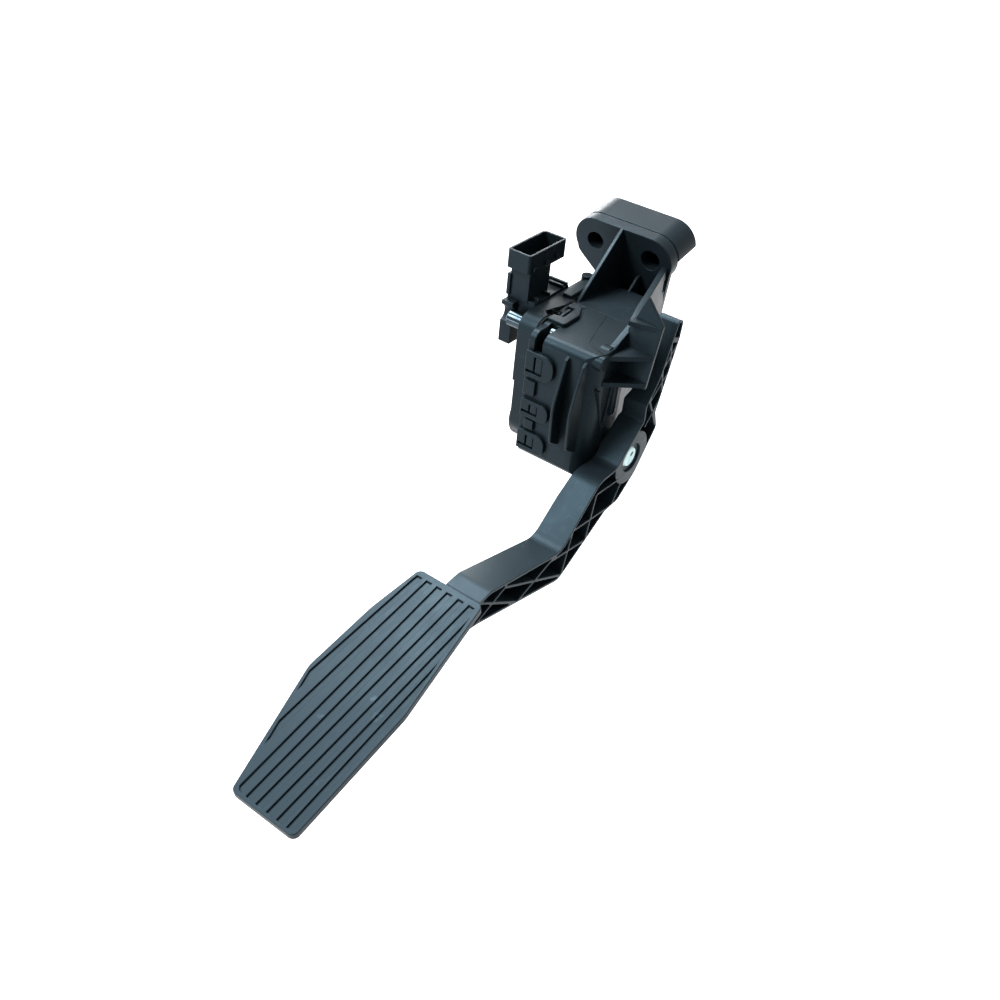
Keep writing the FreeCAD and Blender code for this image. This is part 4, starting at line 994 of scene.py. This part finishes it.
@dataclass
class Assembly:
    """A group of pieces on one body: mouldings, pieces made here, and nodes that only need a finish."""

    body: Body
    mouldings: tuple[Moulding, ...] = ()
    plain: tuple[tuple[str, str], ...] = ()

    def build(self, paints: Paintbox) -> Iterator[bpy.types.Object]:
        """Makes and dresses the whole group.

        Args:
            paints: the materials.

        Yields:
            Each piece or node.
        """
        for moulding in self.mouldings:
            yield moulding.build(self.body, paints)
        yield from self.made(paints)
        for node, slot in self.plain:
            yield dress_node(node, slot, paints)

    def made(self, paints: Paintbox) -> Iterator[bpy.types.Object]:
        """Makes the group's own pieces, of which a plain group has none."""
        yield from ()


@dataclass
class Housing(Assembly):
    """The bracket with its flange, neck, ribs and box, the cover latched to it, and the buffers."""

    body: Body = Body.BASE
    mouldings: tuple[Moulding, ...] = (
        Moulding("housing", "housing_moulding", "housing_nylon", 0.4),
        Moulding("housing_cover", "housing_cover_moulding", "cover_nylon", 0.4),
    )
    plain: tuple[tuple[str, str], ...] = (
        ("idle_stop_buffer", "seal_rubber"),
        ("full_stop_buffer", "seal_rubber"),
    )


@dataclass
class SensorUnit(Assembly):
    """The sensor's cover, its plug socket with the terminals, the board and the magnet rotor."""

    body: Body = Body.BASE
    mouldings: tuple[Moulding, ...] = (
        Moulding("sensor_cover", "sensor_cover_moulding", "sensor_nylon", 0.5),
        Moulding("connector_body", "connector_moulding", "socket_nylon", 0.3),
    )
    plain: tuple[tuple[str, str], ...] = (
        ("cover_seal", "seal_rubber"),
        ("circuit_board", "board_laminate"),
        ("board_components", "chip_resin"),
        ("rotor", "lever_nylon"),
        ("rotor_magnet", "magnet"),
    )

    def made(self, paints: Paintbox) -> Iterator[bpy.types.Object]:
        """Makes the row of terminals."""
        yield Terminals().build(paints)


@dataclass
class SpringPack(Assembly):
    """The lever, springs, friction shoe and bearings inside the box, and the cross pin."""

    body: Body = Body.BASE
    coils: tuple[Coil, ...] = (
        Coil("outer_spring", 7.5, 1.1, 5.0, 3.75, 31.85),
        Coil("inner_spring", 4.4, 0.8, 7.0, 3.45, 32.15),
    )
    plain: tuple[tuple[str, str], ...] = (
        ("spring_seat", "lever_nylon"),
        ("right_bush", "bearing_plastic"),
        ("left_bush", "bearing_plastic"),
        ("cross_pin", "polished_steel"),
        ("spring_lever", "lever_nylon"),
        ("friction_shoe", "bearing_plastic"),
        ("retaining_ring", "spring_steel"),
        ("thrust_washer", "bearing_plastic"),
    )

    def made(self, paints: Paintbox) -> Iterator[bpy.types.Object]:
        """Winds the two springs."""
        for coil in self.coils:
            yield coil.build(paints)


@dataclass
class PedalArm(Assembly):
    """The moulded arm with its grooved pad, the shaft that it turns on and the paint on its end."""

    body: Body = Body.PEDAL
    mouldings: tuple[Moulding, ...] = (Moulding("pedal_arm", "arm_moulding", "arm_nylon", 0.35),)
    plain: tuple[tuple[str, str], ...] = (("pivot_shaft", "zinc_steel"),)
    dot_radius: float = 1.25
    dot_height: float = 0.12
    dot_place: Point = (51.0, -88.65, -60.95)
    dot_rings: int = 4
    dot_sides: int = 28
    dot_lobes: tuple[tuple[int, float, float], ...] = ((2, 0.09, 0.7), (5, 0.05, 0.0))

    def made(self, paints: Paintbox) -> Iterator[bpy.types.Object]:
        """Makes the small domed dab of paint on the shaft's end, from its rim to its top.

        Args:
            paints: the materials.

        Yields:
            The piece.
        """
        shape = bmesh.new()
        rings = [self.dot_ring(shape, 1.0 - ring / self.dot_rings) for ring in range(self.dot_rings)]
        top = shape.verts.new((Vector(self.dot_place) + Vector((self.dot_height, 0.0, 0.0))) * MM)
        for side in range(self.dot_sides):
            after = (side + 1) % self.dot_sides
            for outer, inner in zip(rings, rings[1:]):
                shape.faces.new((outer[side], outer[after], inner[after], inner[side]))
            shape.faces.new((rings[-1][side], rings[-1][after], top))
        shape.faces.new(rings[0][::-1])
        bmesh.ops.recalc_face_normals(shape, faces=shape.faces[:])
        piece = new_piece("paint_dot", shape)
        shade_smooth(piece)
        yield finish_piece(piece, "paint", self.body, paints)

    def dot_ring(self, shape: bmesh.types.BMesh, share: float) -> list[bmesh.types.BMVert]:
        """Adds one ring of points of the dab, whose outline wobbles.

        Args:
            shape: the dab's mesh.
            share: the ring's size, from 1 at the rim to 0 in the middle.

        Returns:
            The ring's points.
        """
        ring = []
        for side in range(self.dot_sides):
            angle = math.tau * side / self.dot_sides
            wobble = sum(size * math.sin(lobes * angle + turn) for lobes, size, turn in self.dot_lobes)
            reach = self.dot_radius * share * (1.0 + wobble)
            lift = self.dot_height * (1.0 - share ** 2)
            offset = Vector((lift, reach * math.cos(angle), reach * math.sin(angle)))
            ring.append(shape.verts.new((Vector(self.dot_place) + offset) * MM))
        return ring


# Room, lamps and camera


@dataclass(frozen=True)
class Lamp:
    """A soft rectangular lamp: its place and the point it looks at, its sides in metres and its watts."""

    name: str
    place: Point
    aim: Point
    width: float
    height: float
    power: float

    def build(self) -> None:
        """Hangs the lamp in the scene."""
        light = bpy.data.lights.new(self.name, "AREA")
        light.shape = "RECTANGLE"
        light.size, light.size_y, light.energy = self.width, self.height, self.power
        lamp = bpy.data.objects.new(self.name, light)
        lamp.location = self.place
        lamp.rotation_euler = (Vector(self.aim) - Vector(self.place)).to_track_quat("-Z", "Y").to_euler()
        bpy.context.scene.collection.objects.link(lamp)


@dataclass
class Studio:
    """A pale floor well below the object, soft lamps and the camera of the photograph."""

    floor_drop: float = 0.16
    floor_half: float = 4.0
    floor_shade: float = 0.72
    floor_glow: float = 0.86
    world_level: float = 0.12
    lamps: tuple[Lamp, ...] = (
        Lamp("key_lamp", (-0.24, 0.10, 0.40), (0.03, -0.10, -0.03), 0.26, 0.22, 4.6),
        Lamp("back_lamp", (-0.42, 0.75, 0.02), (0.03, -0.15, -0.06), 0.7, 0.3, 7.0),
        Lamp("front_lamp", (-0.40, -0.46, 0.66), (0.04, -0.13, -0.03), 0.35, 0.3, 8.0),
        Lamp("low_lamp", (-0.55, -0.85, -0.02), (0.0, -0.09, -0.04), 0.5, 0.2, 2.0),
    )
    lens: float = 39.6
    sensor: float = 36.0
    nearest: float = 0.01
    place: Point = (0.2398, -0.4324, 0.3035)
    azimuth: float = 38.2
    elevation: float = 45.5
    roll: float = -1.6

    def build(self) -> None:
        """Sets up the whole room."""
        self.floor()
        self.world()
        for lamp in self.lamps:
            lamp.build()
        self.camera()

    def floor(self) -> None:
        """Makes the floor, which looks white and still takes the object's shadow."""
        lowest = min(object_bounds()[0].z, 0.0)
        height, half = lowest - self.floor_drop, self.floor_half
        shape = bmesh.new()
        corners = ((-half, -half), (half, -half), (half, half), (-half, half))
        shape.faces.new([shape.verts.new((x, y, height)) for x, y in corners])
        floor = new_piece("floor", shape)
        floor.data.materials.append(self.floor_material())
        floor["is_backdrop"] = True

    def floor_material(self) -> bpy.types.Material:
        """Builds the floor's paint.

        Returns:
            A material that glows for the camera, mirrors and glass, and is plain grey for the lamps' light.
        """
        material = bpy.data.materials.new("floor_paint")
        material.use_nodes = True
        sheet = Sheet(material.node_tree)
        shader = material.node_tree.nodes["Principled BSDF"]
        shader.inputs["Base Color"].default_value = with_alpha((self.floor_shade,) * 3)
        shader.inputs["Roughness"].default_value = 1.0
        shader.inputs["Specular IOR Level"].default_value = 0.0
        shader.inputs["Emission Color"].default_value = (1.0, 1.0, 1.0, 1.0)
        glow = sheet.maths("MULTIPLY", seen_straight(sheet), self.floor_glow)
        sheet.feed(shader, "Emission Strength", glow)
        return material

    def world(self) -> None:
        """Makes the world: soft light on the object, white where it is seen."""
        world = bpy.data.worlds.new("studio")
        bpy.context.scene.world = world
        world.use_nodes = True
        sheet = Sheet(world.node_tree)
        background = world.node_tree.nodes["Background"]
        background.inputs["Color"].default_value = (1.0, 1.0, 1.0, 1.0)
        level = sheet.remap(seen_straight(sheet), (0.0, 1.0), (self.world_level, 1.0))
        sheet.feed(background, "Strength", level)

    def camera(self) -> None:
        """Makes the camera with the photograph's place, direction, roll and lens."""
        turn, rise, roll = (math.radians(angle) for angle in (self.azimuth, self.elevation, self.roll))
        back = Vector((math.sin(turn) * math.cos(rise), -math.cos(turn) * math.cos(rise), math.sin(rise)))
        right = (-back).cross(Vector((0.0, 0.0, 1.0))).normalized()
        up = right.cross(-back)
        across = math.cos(roll) * right + math.sin(roll) * up
        along = math.cos(roll) * up - math.sin(roll) * right
        data = bpy.data.cameras.new("photo_camera")
        data.lens, data.sensor_width, data.clip_start = self.lens, self.sensor, self.nearest
        camera = bpy.data.objects.new("photo_camera", data)
        turned = Matrix((across, along, back)).transposed().to_4x4()
        camera.matrix_world = Matrix.Translation(self.place) @ turned
        bpy.context.scene.collection.objects.link(camera)
        bpy.context.scene.camera = camera


def seen_straight(sheet: Sheet) -> Socket:
    """Tells the camera's, mirrors' and glass's rays from the rest.

    Args:
        sheet: the material's or world's sheet.

    Returns:
        A socket that is 1 for those rays and 0 for the others.
    """
    path = sheet.add("ShaderNodeLightPath")
    straight = sheet.maths("MAXIMUM", path.outputs["Is Camera Ray"], path.outputs["Is Glossy Ray"])
    return sheet.maths("MAXIMUM", straight, path.outputs["Is Transmission Ray"])


def main() -> None:
    """Builds the sub-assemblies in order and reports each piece."""
    logging.basicConfig(level=logging.INFO, format="%(message)s")
    bpy.context.scene.view_settings.view_transform = "Standard"
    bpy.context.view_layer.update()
    paints = Paintbox()
    for assembly in (Housing(), SensorUnit(), SpringPack(), PedalArm()):
        for piece in assembly.build(paints):
            log.info("%s: %s", type(assembly).__name__, piece.name)
    Studio().build()


if __name__ == "__main__":
    main()
